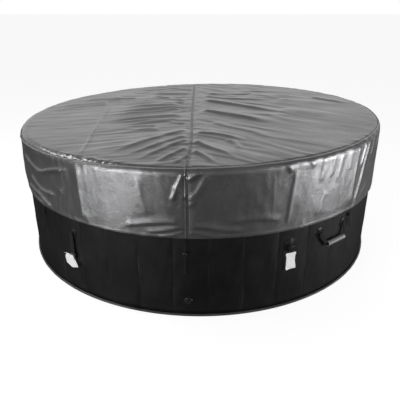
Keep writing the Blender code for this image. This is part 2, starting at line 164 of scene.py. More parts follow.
def lathe(outline, steps, ribs=0, rib=0.0, rib_rows=()):
    """A turned solid. Its outline runs from the top centre to the bottom centre, as (r, z)."""
    verts, faces = [], []
    inner = [p for p in outline if p[0] > 1e-7]
    for k, (r, z) in enumerate(inner):
        for i in range(steps):
            a = 2 * math.pi * i / steps
            bump = rib * max(0.0, math.cos(ribs * a)) if k in rib_rows else 0.0
            verts.append(((r + bump) * math.cos(a), (r + bump) * math.sin(a), z))
    for k in range(len(inner) - 1):
        for i in range(steps):
            j = (i + 1) % steps
            faces.append((k * steps + i, (k + 1) * steps + i, (k + 1) * steps + j, k * steps + j))
    if outline[0][0] <= 1e-7:
        verts.append((0, 0, outline[0][1]))
        faces += [(len(verts) - 1, i, (i + 1) % steps) for i in range(steps)]
    if outline[-1][0] <= 1e-7:
        verts.append((0, 0, outline[-1][1]))
        low = (len(inner) - 1) * steps
        faces += [(len(verts) - 1, low + (i + 1) % steps, low + i) for i in range(steps)]
    return verts, faces


def joined(*parts):
    """Several (verts, faces) as one."""
    verts, faces = [], []
    for v, f in parts:
        faces += [tuple(i + len(verts) for i in face) for face in f]
        verts += [tuple(p) for p in v]
    return verts, faces


def moved(part, matrix):
    return [matrix @ Vector(v) for v in part[0]], part[1]


def tube_mesh(points, radius, sides=8, closed=False, squeeze=1.0):
    """A tube along points. squeeze flattens its section across the local up direction."""
    pts = [Vector(p) for p in points]
    count = len(pts)
    verts, faces = [], []
    side = None
    for i, p in enumerate(pts):
        after = pts[(i + 1) % count] if closed or i < count - 1 else p
        before = pts[i - 1] if closed or i else p
        way = (after - before).normalized()
        if side is None:
            side = way.orthogonal().normalized()
        side = (side - way * side.dot(way)).normalized()
        up = way.cross(side)
        for k in range(sides):
            a = 2 * math.pi * k / sides
            verts.append(p + side * (radius * math.cos(a)) + up * (radius * squeeze * math.sin(a)))
    for i in range(count if closed else count - 1):
        j = (i + 1) % count
        for k in range(sides):
            m = (k + 1) % sides
            faces.append((i * sides + k, i * sides + m, j * sides + m, j * sides + k))
    if not closed:
        faces.append(tuple(reversed(range(sides))))
        faces.append(tuple(range((count - 1) * sides, count * sides)))
    return verts, faces


def part_of(shape):
    """The verts and faces of a bmesh, which is then freed."""
    shape.verts.index_update()
    part = [v.co.copy() for v in shape.verts], [[v.index for v in f.verts] for f in shape.faces]
    shape.free()
    return part


def rounded_box(low, high, radius, segments=2):
    """A box with rounded edges."""
    shape = bmesh.new()
    bmesh.ops.create_cube(shape, size=1.0)
    for corner in shape.verts:
        corner.co = [low[i] if corner.co[i] < 0 else high[i] for i in range(3)]
    bmesh.ops.bevel(shape, geom=shape.edges[:], offset=radius, segments=segments, profile=0.5,
                    affect="EDGES")
    return part_of(shape)


# Materials

def put(tree, kind, sockets=None, **props):
    made = tree.nodes.new(kind)
    for key, value in props.items():
        setattr(made, key, value)
    for key, value in (sockets or {}).items():
        if isinstance(value, bpy.types.NodeSocket):
            tree.links.new(value, made.inputs[key])
        else:
            made.inputs[key].default_value = value
    return made


def principled(name, roughness, **fixed):
    made = bpy.data.materials.new(name)
    made.use_nodes = True
    tree = made.node_tree
    shader = tree.nodes["Principled BSDF"]
    shader.inputs["Roughness"].default_value = roughness
    for key, value in fixed.items():
        shader.inputs[key.replace("_", " ")].default_value = value
    return made, tree, shader


def shades(tree, factor, dark, light, low=0.3, high=0.7):
    """From dark to light. Each is given as (red and green, blue)."""
    ramp = put(tree, "ShaderNodeValToRGB", {"Fac": factor})
    ramp.color_ramp.elements[0].position = low
    ramp.color_ramp.elements[1].position = high
    ramp.color_ramp.elements[0].color = (dark[0], *dark, 1.0)
    ramp.color_ramp.elements[1].color = (light[0], *light, 1.0)
    return ramp.outputs["Color"]


def object_point(tree):
    return put(tree, "ShaderNodeTexCoord").outputs["Object"]


def noise_of(tree, where, scale, detail=3.0, rough=0.5, warp=0.0):
    return put(tree, "ShaderNodeTexNoise", {
        "Vector": where, "Scale": scale, "Detail": detail, "Roughness": rough, "Distortion": warp
    }).outputs["Fac"]


def spread(tree, value, low, high, start=0.0, end=1.0, **props):
    """The value's range from start to end, laid over low to high."""
    sockets = {"Value": value, "From Min": start, "From Max": end, "To Min": low, "To Max": high}
    return put(tree, "ShaderNodeMapRange", sockets, **props).outputs["Result"]


def blended(tree, kind, factor, a, b):
    """Two colours mixed by a blend of the kind given."""
    mixed = put(tree, "ShaderNodeMix", data_type="RGBA", blend_type=kind)
    mixed.inputs["Factor"].default_value = factor
    tree.links.new(a, mixed.inputs["A"])
    tree.links.new(b, mixed.inputs["B"])
    return mixed.outputs["Result"]


def wave_of(tree, where, scale, warp, way):
    return put(tree, "ShaderNodeTexWave", {"Vector": where, "Scale": scale, "Distortion": warp},
               bands_direction=way).outputs["Fac"]


def finish(made, tree, shader, color, roughness, heights):
    """Links the colour, the roughness and the bumps of a look, and hands it back."""
    tree.links.new(color, shader.inputs["Base Color"])
    tree.links.new(roughness, shader.inputs["Roughness"])
    tree.links.new(bumps(tree, heights), shader.inputs["Normal"])
    return made


def bumps(tree, heights):
    """Bump nodes in a chain, from (height socket, distance, strength)."""
    normal = None
    for height, distance, strength in heights:
        sockets = {"Height": height, "Distance": distance, "Strength": strength}
        if normal is not None:
            sockets["Normal"] = normal
        normal = put(tree, "ShaderNodeBump", sockets).outputs["Normal"]
    return normal


def stretched(tree, where, x, y, z):
    return put(tree, "ShaderNodeMapping", {"Vector": where, "Scale": (x, y, z)}).outputs["Vector"]


def cloth_look(name, streak, crumple, rough, weave=0.2, dark=(0.38, 0.39),
               light=(0.56, 0.57)):
    """Silver-grey coated polyester: satin, with a fine weave, small crinkles and weft streaks."""
    made, tree, shader = principled(name, 0.40, Specular_IOR_Level=0.6, Sheen_Weight=0.08)
    where = object_point(tree)
    cloud = noise_of(tree, where, 3.0, 4.0, 0.6, 0.4)
    thread = noise_of(tree, stretched(tree, where, 900, 900, 220), 1.0, 1.0)
    crinkle = noise_of(tree, where, 55.0, 5.0, 0.62, 0.9)
    color = shades(tree, cloud, dark, light)
    fine = shades(tree, thread, (0.90, 0.90), (1.06, 1.06))
    shader.inputs["Metallic"].default_value = 0.9
    weft = noise_of(tree, stretched(tree, where, 40, 40, 900), 1.0, 2.0, 0.5)
    heights = [(weft, 0.0006, streak), (crinkle, 0.0012, crumple), (thread, 0.0002, weave)]
    return finish(made, tree, shader, blended(tree, "MULTIPLY", 1.0, color, fine),
                  spread(tree, crinkle, *rough), heights)


def grained_pvc(name, dark, light, roughness, grain_size=0.0032, depth=0.0004):
    """Black embossed PVC with a leather grain."""
    made, tree, shader = principled(name, roughness, Specular_IOR_Level=0.45)
    where = object_point(tree)
    cells = put(tree, "ShaderNodeTexVoronoi", {
        "Vector": where, "Scale": 1.0 / grain_size, "Randomness": 1.0
    }, feature="DISTANCE_TO_EDGE").outputs["Distance"]
    cloud = noise_of(tree, where, 9.0, 5.0, 0.65, 0.3)
    grain = noise_of(tree, where, 420.0, 3.0)
    soft = spread(tree, cells, 0.0, 1.0, end=0.25)
    heights = [(soft, depth, 0.8), (grain, depth * 0.4, 0.5), (cloud, 0.002, 0.15)]
    return finish(made, tree, shader, shades(tree, cloud, dark, light),
                  spread(tree, cloud, roughness - 0.05, roughness + 0.08), heights)


def moulded(name, dark, light, roughness, **fixed):
    """Moulded plastic with a fine spark-eroded surface and paler rubbed edges."""
    made, tree, shader = principled(name, roughness, **fixed)
    where = object_point(tree)
    edge = put(tree, "ShaderNodeNewGeometry").outputs["Pointiness"]
    cloud = noise_of(tree, where, 60.0, 4.0)
    color = shades(tree, cloud, dark, light)
    worn = shades(tree, edge, (0, 0), tuple(c * 1.6 + 0.02 for c in light), 0.50, 0.62)
    fine = noise_of(tree, where, 1400.0, 2.0)
    return finish(made, tree, shader, blended(tree, "ADD", 0.6, color, worn),
                  spread(tree, cloud, roughness - 0.06, roughness + 0.08),
                  [(fine, 0.00008, 0.4), (cloud, 0.0004, 0.2)])


def woven_band(name, dark, light):
    """Ribbed webbing. Its UV runs across (U) and along (V) in metres."""
    ribs, twills = 45.0, 75.0
    made, tree, shader = principled(name, 0.82, Sheen_Weight=0.25, Specular_IOR_Level=0.3)
    uv = put(tree, "ShaderNodeTexCoord").outputs["UV"]
    slanted = put(tree, "ShaderNodeMapping", {"Vector": uv, "Rotation": (0, 0, math.radians(60))})
    rib = wave_of(tree, uv, ribs, 0.4, "Y")
    twill = wave_of(tree, slanted.outputs["Vector"], twills, 0.6, "X")
    dust = noise_of(tree, object_point(tree), 120.0, 4.0)
    return finish(made, tree, shader, shades(tree, dust, dark, light), spread(tree, dust, 0.74, 0.9),
                  [(rib, 0.0004, 0.8), (twill, 0.0003, 0.6)])


def twisted_cord(name, dark, light):
    made, tree, shader = principled(name, 0.75, Sheen_Weight=0.05, Specular_IOR_Level=0.3)
    where = object_point(tree)
    braid = wave_of(tree, where, 130.0, 1.2, "DIAGONAL")
    fuzz = noise_of(tree, where, 700.0, 3.0)
    return finish(made, tree, shader, shades(tree, braid, dark, light), spread(tree, fuzz, 0.65, 0.9),
                  [(braid, 0.0006, 0.8), (fuzz, 0.0003, 0.5)])


def film_look():
    """White film, with a constant glow that paints it brighter than its lighting makes it: painted light."""
    # The emission below is painted light: the tag glows though it is no lamp.
    made, tree, shader = principled("tag_film_painted_glow", 0.45, Specular_IOR_Level=0.5,
                                    Emission_Color=(1, 1, 1, 1), Emission_Strength=0.36)
    where = object_point(tree)
    cloud = noise_of(tree, where, 45.0, 4.0, 0.6)
    crumple = noise_of(tree, where, 130.0, 4.0, 0.55, 0.8)
    return finish(made, tree, shader, shades(tree, cloud, (0.80, 0.79), (0.90, 0.90)),
                  spread(tree, crumple, 0.38, 0.55), [(crumple, 0.0008, 0.5)])


CLOTH = (cloth_look("silver_cloth", 0.04, 0.06, (0.24, 0.34), 0.04), "cover_cloth")
SKIRT_CLOTH = (cloth_look("silver_cloth_skirt", 1.0, 0.25, (0.30, 0.41)), "cover_cloth")
# The seam's ribbon is a darker copy of the cloth: painted shade standing in for the puckers along the seam.
SEAM_CLOTH_SHADED = (cloth_look("seam_cloth_painted_shade", 0.15, 0.10, (0.30, 0.40), 0.1, (0.29, 0.30), (0.38, 0.39)),
              "cover_cloth")
PIPING = (twisted_cord("piping_tape", (0.50, 0.51), (0.66, 0.67)), "cover_cloth")
THREAD = (twisted_cord("seam_thread", (0.28, 0.29), (0.42, 0.43)), "cover_cloth")
WALL = (grained_pvc("wall_grain", (0.009, 0.010), (0.023, 0.025), 0.48), "wall_pvc")
PATCH = (grained_pvc("patch_grain", (0.020, 0.021), (0.040, 0.042), 0.28, 0.004, 0.0001), "wall_pvc")
LINER = (grained_pvc("liner_grain", (0.060, 0.064), (0.095, 0.100), 0.42, 0.006, 0.00015),
         "liner_pvc")
MOULDED = (moulded("moulded_black", (0.014, 0.015), (0.032, 0.034), 0.24, Coat_Weight=0.6),
           "moulded_black")
# The flange is a much paler copy of the wall's PVC: painted highlight for the light line along the weld.
FLANGE_LIT = (grained_pvc("flange_sheet_painted_highlight", (0.08, 0.084), (0.16, 0.164), 0.30, 0.005, 0.0001), "wall_pvc")
GRIP = (moulded("grip_tube", (0.26, 0.265), (0.42, 0.425), 0.20, Coat_Weight=1.0), "moulded_black")
WEBBING = (woven_band("webbing_weave", (0.008, 0.009), (0.020, 0.022)), "webbing")
CORD = (twisted_cord("black_cord", (0.012, 0.013), (0.060, 0.062)), "webbing")
TAG = (film_look(), "tag_paper")


# Cords: the drawcord's tail and the ties of the cover

def cord_curve(name, points, diameter, body, replaced=()):
    data = bpy.data.curves.new(name, "CURVE")
    data.dimensions = "3D"
    data.bevel_depth = diameter / 2
    data.bevel_resolution = 3
    data.use_fill_caps = True
    line = data.splines.new("POLY")
    line.points.add(len(points) - 1)
    for spot, point in zip(line.points, points):
        spot.co = (*point, 1.0)
    return new_object(name, data, body, CORD, replaced)


def knot(name, centre, size, body):
    """A small overhand knot: one lumpy ring of cord, flat against the wall."""
    angle = math.degrees(math.atan2(centre.x, -centre.y))
    place = on_wall(angle, centre.z, math.hypot(centre.x, centre.y))
    turns, count = 2, 40
    route = []
    for i in range(count):
        a = 2 * math.pi * turns * i / (count - 1)
        r = size * (0.62 + 0.25 * math.cos(1.5 * a))
        route.append((r * math.cos(a), r * math.sin(a), size * 0.25 * math.sin(1.5 * a)))
    return piece_from(name, *tube_mesh(route, size * 0.42, 8), body, CORD, place=place)


def drawcord():
    a, run = TAIL_ANGLE, LOCK_R
    route = [(CORD_R, HEM - GAP), (CORD_R, HEM - 0.008), ((CORD_R + run) / 2, HEM - 0.016)]
    route += [(run, z) for z in (HEM - 0.026, 0.340, 0.310, 0.280, 0.250, TAIL_END)]
    points = smooth([round_the_wall(a, r, z) for r, z in route], 24)
    tail = cord_curve("drawcord", points, CORD_D, "cover", ["drawcord_tail"])
    place = on_wall(a, LOCK_Z, run) @ Matrix.Rotation(math.pi / 2, 4, "Y")
    barrel, half = 0.0072, 0.0085
    outline = [(barrel - 0.0012, half), (barrel - 0.0003, half - 0.0005), (barrel, half - 0.0016)]
    outline += [(barrel, 0.0020), (barrel - 0.0006, 0.0014), (barrel - 0.0006, -0.0014), (barrel, -0.0020)]
    outline += [(barrel, 0.0016 - half), (barrel - 0.0014, 0.0002 - half), (barrel - 0.004, -half)]
    outline.append((0, -half))
    bore = [(0, half - 0.005), (0.0050, half - 0.005), (0.0052, half - 0.0005), (0.0052, half)]
    shell = lathe(bore + outline, 40)
    lock = piece_from("cord_lock", *shell, "cord_lock", MOULDED, ["cord_lock_body"], place=place)
    top = 0.0125
    outline = [(0, top - 0.0006), (0.0022, top - 0.0002), (0.0034, top), (0.0044, top - 0.0006)]
    outline += [(0.0048, top - 0.0016), (0.0048, 0.0068), (0, 0.0068)]
    button = piece_from("lock_button", *lathe(outline, 32), "lock_button", MOULDED,
                        ["cord_lock_button"], place=place)
    end = knot("drawcord_knot", points[-1] + Vector((0, 0, 0.001)), 0.0042, "cover")


def ties():
    """Each tie is one cord with a knot part of the way down and a shorter second tail from the knot."""
    for k, (angle, long, swing) in TIES.items():
        z = HEM - GAP
        route = [(angle, CORD_R, z), (angle, CORD_R, z - 0.15 * long)]
        route.append((angle + 0.15 * swing, CORD_R, z - 0.4 * long))
        route += [(angle + 0.5 * swing, CORD_R + 0.001, z - 0.7 * long), (angle + swing, CORD_R, z - long)]
        points = smooth([round_the_wall(*p) for p in route], 24)
        tie = cord_curve(f"tie_{k}", points, CORD_D, "cover", [f"tie_cord_{k}"])
        middle = points[9]
        lump = knot(f"tie_{k}_knot", middle, 0.0082, "cover")
        down = min(0.055, 0.4 * long)
        spots = [(0.0, 0.0, 0.0), (-0.25, 0.001, 0.2), (-0.7, 0.0015, 0.6), (-1.1, 0.001, 1.0)]
        start = angle + 0.1 * swing
        turn = 1 if swing > 0 else -1
        tail = []
        for side, out, drop in spots:
            z = middle.z - drop * down
            tail.append(round_the_wall(start + side * turn * 1.2, CORD_R + out + 0.001, z))
        second = cord_curve(f"tie_{k}_second_tail", smooth(tail, 16), CORD_D * 0.9, "cover")


drawcord()
ties()


# The weather cover's surface

def ease(x, low, high):
    t = np.clip((np.asarray(x, float) - low) / (high - low), 0, 1)
    return t * t * (3 - 2 * t)


def route_2d(points):
    """A smooth line through (u, v) points, with eight steps from each to the next."""
    count = 8 * (len(points) - 1) + 1
    return np.array([p[:2] for p in smooth([Vector((u, v, 0)) for u, v in points], count)])


def crease(u, v, points, height, width, steep=0.0, cusp=False, ends=(0.25, 0.25)):
    """Height at (u, v) of one fold along a line. steep > 0 makes its way's right side the steeper."""
    line = route_2d(points)
    reach = 4.0 * width * (1 + abs(steep))
    low, high = line.min(0) - reach, line.max(0) + reach
    found = np.zeros(len(u))
    near = np.where((u > low[0]) & (u < high[0]) & (v > low[1]) & (v < high[1]))[0]
    if not len(near):
        return found
    p = np.stack([u[near], v[near]], 1)
    best, side, share = np.full(len(near), 1e9), np.zeros(len(near)), np.zeros(len(near))
    span = np.linalg.norm(np.diff(line, axis=0), axis=1)
    reached = np.concatenate([[0], np.cumsum(span)])
    for a, b, long, before in zip(line[:-1], line[1:], span, reached):
        if long < 1e-9:
            continue
        way = (b - a) / long
        rel = p - a
        t = np.clip(rel @ way, 0, long)
        away = rel - t[:, None] * way
        d = np.hypot(away[:, 0], away[:, 1])
        closer = d < best
        best = np.where(closer, d, best)
        side = np.where(closer, np.sign(way[0] * rel[:, 1] - way[1] * rel[:, 0]), side)
        share = np.where(closer, (before + t) / reached[-1], share)
    sharper = side < 0 if steep >= 0 else side > 0
    t = best / width * np.where(sharper, 1 + abs(steep), 1 / (1 + abs(steep)))
    shape = np.exp(-1.3 * t) if cusp else np.exp(-t * t)
    taper = ease(share, 0, ends[0]) * (1 - ease(share, 1 - ends[1], 1))
    found[near] = height * shape * taper
    return found


def noise_at(points, scale, octaves=4, seed=0.0, ridged=False):
    """Fractal noise at each point, about -1 to 1, or 0 to 1 where it is ridged."""
    sx, sy, sz = scale
    found = np.empty(len(points))
    for i, (x, y, z) in enumerate(points):
        spot = (x * sx + seed, y * sy - seed, z * sz + 2 * seed)
        if ridged:
            found[i] = 1 - min(1.0, 2.2 * abs(noise.fractal(spot, 0.9, 2.1, octaves)))
        else:
            found[i] = noise.fractal(spot, 1.0, 2.0, octaves)
    return found


TOP_FOLDS = [
    # route of (x, y), rise in mm, width, steep: the right side of its way is the steeper one above 0
    ([(.02, .55), (.15, .53), (.35, .49), (.55, .44)], 3.2, .022, .3),
    ([(.02, .48), (.12, .40), (.3, .33), (.45, .28)], 4.2, .024, .3),
    ([(.01, .32), (.12, .24), (.26, .12), (.40, -.01), (.50, -.08)], 7.0, .028, .5),
    ([(.0, .02), (.12, -.07), (.27, -.20), (.36, -.33)], 7.0, .026, .5),
    ([(.05, -.27), (.16, -.38), (.28, -.50), (.34, -.62)], 4.2, .022, .4),
    ([(-.03, -.47), (.06, -.50), (.14, -.56), (.22, -.64)], 5.0, .014, .5),
    ([(.12, -.60), (.16, -.68), (.16, -.78)], 3.4, .014, .3),
    ([(-.03, -.62), (.04, -.72), (.11, -.80), (.15, -.87)], 5.6, .013, .5),
    ([(-.03, -.76), (.02, -.84), (.06, -.93)], 5.0, .012, .4),
    ([(.72, .36), (.84, .21), (.92, .13)], 4.0, .026, .4),
    ([(.25, .62), (.45, .60), (.65, .52)], 2.0, .034, .2),
    ([(.20, -.05), (.35, -.12), (.55, -.15)], 2.4, .034, .3),
    ([(-.06, .69), (-.15, .77), (-.25, .80)], 3.2, .022, .3),
    ([(-.05, .56), (-.2, .57), (-.3, .6), (-.5, .65)], 3.6, .026, .4),
    ([(-.08, .30), (-.18, .38), (-.3, .48), (-.42, .5)], 4.4, .026, .4),
    ([(-.42, .44), (-.5, .43), (-.6, .42)], 2.6, .020, .3),
    ([(-.09, .23), (-.2, .26), (-.35, .26), (-.54, .24)], 8.0, .044, 1.0),
    ([(-.08, .03), (-.15, .06), (-.25, .04)], 3.0, .022, .4),
    ([(-.1, -.03), (-.2, -.01), (-.35, -.02), (-.54, -.04)], 8.0, .048, 1.0),
    ([(-.08, -.30), (-.13, -.26), (-.2, -.23)], 3.2, .018, .3),
    ([(-.22, -.31), (-.3, -.32), (-.4, -.32)], 3.0, .018, .4),
    ([(-.2, -.39), (-.3, -.38), (-.4, -.37)], 2.8, .018, .3),
    ([(-.09, .15), (-.22, .17), (-.36, .16), (-.50, .13)], 5.5, .034, 1.0),
    ([(-.10, .09), (-.24, .10), (-.40, .06), (-.52, .04)], 5.0, .030, 1.0),
    ([(-.09, -.11), (-.22, -.11), (-.36, -.13), (-.50, -.15)], 5.5, .036, 1.0),
    ([(-.12, -.19), (-.26, -.20), (-.42, -.23)], 4.5, .030, 1.0),
    ([(-.52, .47), (-.66, .43), (-.80, .36)], 5.0, .050, 1.0),
    ([(-.58, .31), (-.74, .27), (-.90, .18)], 5.5, .050, 1.0),
    ([(.48, .30), (.66, .22), (.84, .08)], 4.0, .055, -.8),
    ([(.30, .46), (.52, .42), (.72, .34)], 4.0, .040, -.8),
    ([(.46, .02), (.62, -.06), (.78, -.20)], 3.6, .050, -.8),
    ([(-.05, -.40), (-.18, -.52), (-.30, -.66), (-.40, -.80)], 4.0, .018, -.5),
    ([(-.05, -.50), (-.16, -.62), (-.25, -.73), (-.33, -.83)], 3.2, .014, -.5),
    ([(-.05, -.58), (-.13, -.68), (-.20, -.78), (-.26, -.88)], 4.0, .014, -.5),
    ([(-.05, -.70), (-.10, -.78), (-.15, -.86), (-.19, -.93)], 4.8, .011, -.5),
    ([(-.05, -.82), (-.08, -.88), (-.11, -.94)], 3.8, .009, -.4),
]

STRAIGHT_CREASE = ([(-.56, .22), (-.54, -.1), (-.52, -.45), (-.50, -.80)], 3.2, .009, .0)

SKIRT_FOLDS = [
    # route of (angle, height), rise in mm, width, steep, cusp
    ([(-31.2, .675), (-31.2, .60), (-31.0, .50), (-30.6, .388)], 6.5, .042, .2, True),
    ([(-14.6, .665), (-14.1, .60), (-13.2, .52), (-12.6, .47)], 2.2, .028, -.5, True),
    ([(-3.3, .69), (-3.2, .60), (-3.1, .50), (-3.1, .388)], -2.0, .012, .0, False),
    ([(-3.7, .68), (-4.6, .64), (-5.4, .61), (-6.6, .55)], 5.5, .008, .3, False),
    ([(-6.0, .62), (-5.2, .60), (-4.2, .575), (-3.2, .56)], 4.4, .009, .4, False),
    ([(0.4, .682), (-0.8, .666), (-1.9, .653), (-3.0, .642)], 6.0, .008, .4, False),
    ([(1.6, .670), (0.8, .640), (-0.4, .60), (-1.6, .575), (-3.0, .56)], 3.6, .012, .4, False),
    ([(-.2, .685), (-1.6, .665), (-3.0, .64)], 3.0, .009, .0, False),
    ([(-3.1, .53), (-1.6, .545), (-.6, .56)], 2.0, .008, .0, False),
    ([(-19, .425), (-15, .440), (-11, .452), (-7, .457), (-4, .455)], 3.2, .012, .6, False),
    ([(-13, .408), (-9, .418), (-6, .432), (-3.4, .440)], 3.4, .010, .5, False),
    ([(-10, .392), (-7, .400), (-5, .410), (-3.4, .420)], 2.4, .009, .3, False),
    ([(-2.8, .440), (1, .440), (5, .425), (11, .412)], 3.2, .011, .5, False),
    ([(-2.8, .415), (0, .408), (3, .398)], 2.2, .009, .3, False),
    ([(6, .455), (11, .462), (16, .458), (21, .436)], 2.6, .013, .4, False),
    ([(17.5, .68), (17.5, .60), (17.5, .50), (17.5, .395)], 0.9, .010, .0, True),
    ([(23.2, .665), (22.7, .60), (22.2, .52), (21.6, .41)], 4.5, .010, .5, True),
    ([(20, .685), (21, .665), (22, .64)], 3.0, .010, .4, False),
    ([(27, .690), (27.3, .670), (28.4, .645)], 3.4, .010, .5, False),
    ([(31.5, .690), (31.2, .64), (30.6, .57)], 2.8, .011, .5, False),
    ([(35.2, .695), (34.6, .64), (34.0, .58)], 2.6, .011, .5, False),
    ([(38.5, .695), (37.6, .63), (36.4, .55)], 2.4, .012, .5, False),
    ([(33.5, .53), (31.5, .47), (30.5, .42)], 1.8, .014, .3, False),
    ([(42.3, .70), (41.8, .64), (41.6, .58)], 2.0, .012, .4, False),
    ([(46.4, .70), (45.4, .62), (44.6, .52), (44.4, .40)], 7.0, .020, -.9, True),
    ([(54.0, .70), (52.0, .65), (50.2, .58), (48.6, .50), (46.9, .42), (46.3, .392)], 4.5, .017, .8, False),
    ([(50.5, .70), (49.4, .65), (48.2, .60), (47.6, .57)], 5.0, .008, .3, False),
    ([(57.5, .70), (56.6, .65), (55.0, .59)], 3.0, .013, .4, False),
    ([(62.5, .70), (61.5, .65), (60.5, .60)], 3.6, .014, .4, False),
    ([(47, .400), (50, .425), (54, .455), (58, .475)], 1.8, .009, .0, False),
    ([(-62, .612), (-55, .592), (-48, .575), (-42, .605), (-36, .632), (-34, .636)], 10.0, .0095, -.6, False),
    ([(-56, .540), (-52, .500), (-47, .478), (-43, .485), (-41, .480)], 9.5, .0088, -.6, False),
    ([(-60, .455), (-55, .448), (-50, .444), (-47, .428), (-43, .402)], 10.5, .0088, -.6, False),
    ([(-58, .425), (-54, .408), (-50, .402), (-47, .404)], 6.5, .010, -.5, False),
    ([(-42, .530), (-40, .520), (-38, .505)], 2.6, .012, .3, False),
    ([(-75, .61), (-70, .56), (-66, .49), (-62, .41)], 4.5, .020, .3, False),
    ([(-84, .62), (-80, .55), (-78, .47), (-77, .41)], 4.0, .022, .3, False),
]


def seam_x(y):
    """Where the seam over the middle of the cover lies."""
    return np.interp(y, (-0.98, -0.95, -0.60, 0.0, 0.95, 0.98),
                     (-0.0530, -0.0514, -0.040, -0.045, -0.0431, -0.0445))


def section(along):
    """Radius, height and outward normal (radial, up) of the cover's section."""
    a = np.clip((along - FLAT) / CORNER, 0, math.pi / 2)
    r = np.where(along <= FLAT, along, FLAT + CORNER * np.sin(a))
    z = COVER_TOP - CORNER * (1 - np.cos(a)) - np.maximum(along - FLAT - BEND, 0)
    return r, z, np.sin(a), np.cos(a)


def seam_drop(angle):
    """How far the piped seam lies below the top: least on the right, most on the left."""
    least, most, start, lowest, back = 0.004, 0.028, 10, -70, -110
    front = (np.clip(start - angle, 0, start - lowest) / (start - lowest)) ** 2
    rear = 0.5 - 0.5 * np.cos(np.pi * np.minimum((angle + 180) / (back + 180), 1))
    return least + (most - least) * np.where(angle > lowest, front, rear)


def seam_along(angle):
    return FLAT + CORNER * np.arccos(1 - seam_drop(angle) / CORNER)


def top_field(x, y):
    """Height in metres of the folds over the cover's top."""
    found = np.zeros(len(x))
    for points, rise, width, steep in TOP_FOLDS:
        found += crease(x, y, points, rise * 0.0014, width, steep, ends=(0.12, 0.45))
    points, rise, width, steep = STRAIGHT_CREASE
    found += crease(x, y, points, rise * 0.001, width, steep, cusp=True, ends=(0.1, 0.1))
    spots = np.stack([x, y, np.zeros(len(x))], 1)
    broad = noise_at(spots, (2.6, 2.6, 1.0), 3, 3.1)
    found += 0.0028 * broad
    calm = 1 - 0.75 * ease(np.abs(x - 0.02), 0.35, 0.62)
    right = ease(x, -0.10, 0.02)
    for turn, share, seed in ((-40, right, 7.3), (12, 1 - right, 2.9)):
        c, s = math.cos(math.radians(turn)), math.sin(math.radians(turn))
        along_it, across = x * c + y * s, -x * s + y * c
        spots = np.stack([along_it, across, np.zeros(len(x))], 1)
        found += calm * share * 0.0030 * noise_at(spots, (1.5, 11.0, 1.0), 2, seed, ridged=True)
        found += calm * share * 0.0008 * noise_at(spots, (7.0, 30.0, 1.0), 2, seed + 5)
    away = np.abs(x - seam_x(y))
    near = np.exp(-(away / 0.045) ** 1.2) * ease(away, 0.002, 0.010)
    spots = np.stack([x - seam_x(y), y - 0.35 * away * np.sign(x), np.zeros(len(x))], 1)
    found += 0.0032 * near * noise_at(spots, (6.0, 26.0, 1.0), 3, 61.0)
    found -= 0.0022 * np.exp(-((away - 0.012) / 0.006) ** 2)
    return found


def skirt_field(angle, z):
    """Height in metres of the folds down the cover's skirt."""
    u = np.radians(angle) * R_COVER
    found = np.zeros(len(u))
    for points, rise, width, steep, cusp in SKIRT_FOLDS:
        line = [(math.radians(a) * R_COVER, h) for a, h in points]
        found += crease(u, z, line, rise * 0.001, width, steep, cusp, ends=(0.18, 0.18))
    spots = turned(np.radians(angle), R_COVER, z)
    found += 0.0020 * noise_at(spots, (4.0, 4.0, 3.0), 3, 11.0)
    behind = 1 - ease(np.abs(np.abs(angle) - 180), 90, 115)
    found += 0.0050 * behind * noise_at(spots, (7.0, 7.0, 2.2), 3, 21.0, ridged=True)
    found += 0.0009 * noise_at(spots, (26.0, 26.0, 14.0), 3, 31.0)
    crushed = 0.35 + 0.8 * np.exp(-((angle + 50) / 14) ** 2) + 0.1 * np.exp(-((angle - 36) / 10) ** 2)
    found += 0.0017 * crushed * noise_at(spots, (17.0, 17.0, 4.5), 2, 71.0, ridged=True)
    return found


def rim_field(angle, along):
    """The small gathers along the piped seam and along the hem."""
    spots = turned(np.radians(angle), 1.0, along)
    away = (along - seam_along(angle)) / 0.020
    near = np.exp(-np.where(away < 0, away * 0.8, away * 1.2) ** 2)
    front_left = np.exp(-((angle + 30) / 17) ** 2)
    right = np.exp(-((angle - 42) / 17) ** 2)
    strong = 0.0012 + 0.0022 * front_left + 0.0016 * right
    gathers = noise_at(spots, (30.0, 30.0, 12.0), 3, 41.0)
    above = seam_along(angle) - along
    crushed = np.exp(-((angle + 31) / 15) ** 2)
    crushed = crushed * ease(above, 0.0, 0.006) * (1 - ease(above, 0.022, 0.050))
    gathers = gathers + 1.3 * crushed * noise_at(spots, (48.0, 48.0, 34.0), 2, 81.0, ridged=True)
    hem = np.exp(-((SKIRT_END - along) / 0.030) ** 2)
    ripples = noise_at(spots, (24.0, 24.0, 6.0), 2, 51.0)
    return strong * np.maximum(near, crushed) * gathers + 0.0012 * hem * ripples


def cover_surface(angle, along):
    """Points and outward normals of the cloth, at angles and at distances from the middle."""
    angle, along = np.asarray(angle, float), np.asarray(along, float)
    a = np.radians(angle)
    r, z, out, up = section(along)
    x, y = r * np.sin(a), -r * np.cos(a)
    over = 1 - ease(along, FLAT - 0.01, FLAT + BEND)
    down = ease(along, FLAT, FLAT + BEND * 0.9)
    rise = rim_field(angle, along)
    in_casing = (along - SKIRT_END + CASING / 2) / (CASING / 2)
    rise += CASING_OUT * np.clip(1 - in_casing ** 2, 0, 1) ** 2
    top = over > 1e-6
    rise[top] += over[top] * top_field(x[top], y[top])
    side = down > 1e-6
    rise[side] += down[side] * skirt_field(angle[side], z[side])
    rise = np.clip(rise, -0.0036, 0.013)
    share = np.clip((z - HEM) / (LEVEL - HEM), 0, 1)
    normal = np.stack([out * np.sin(a), -out * np.cos(a), up], 1)
    points = np.stack([x, y, z + LEAN * x * share], 1) + normal * rise[:, None]
    return points, normal


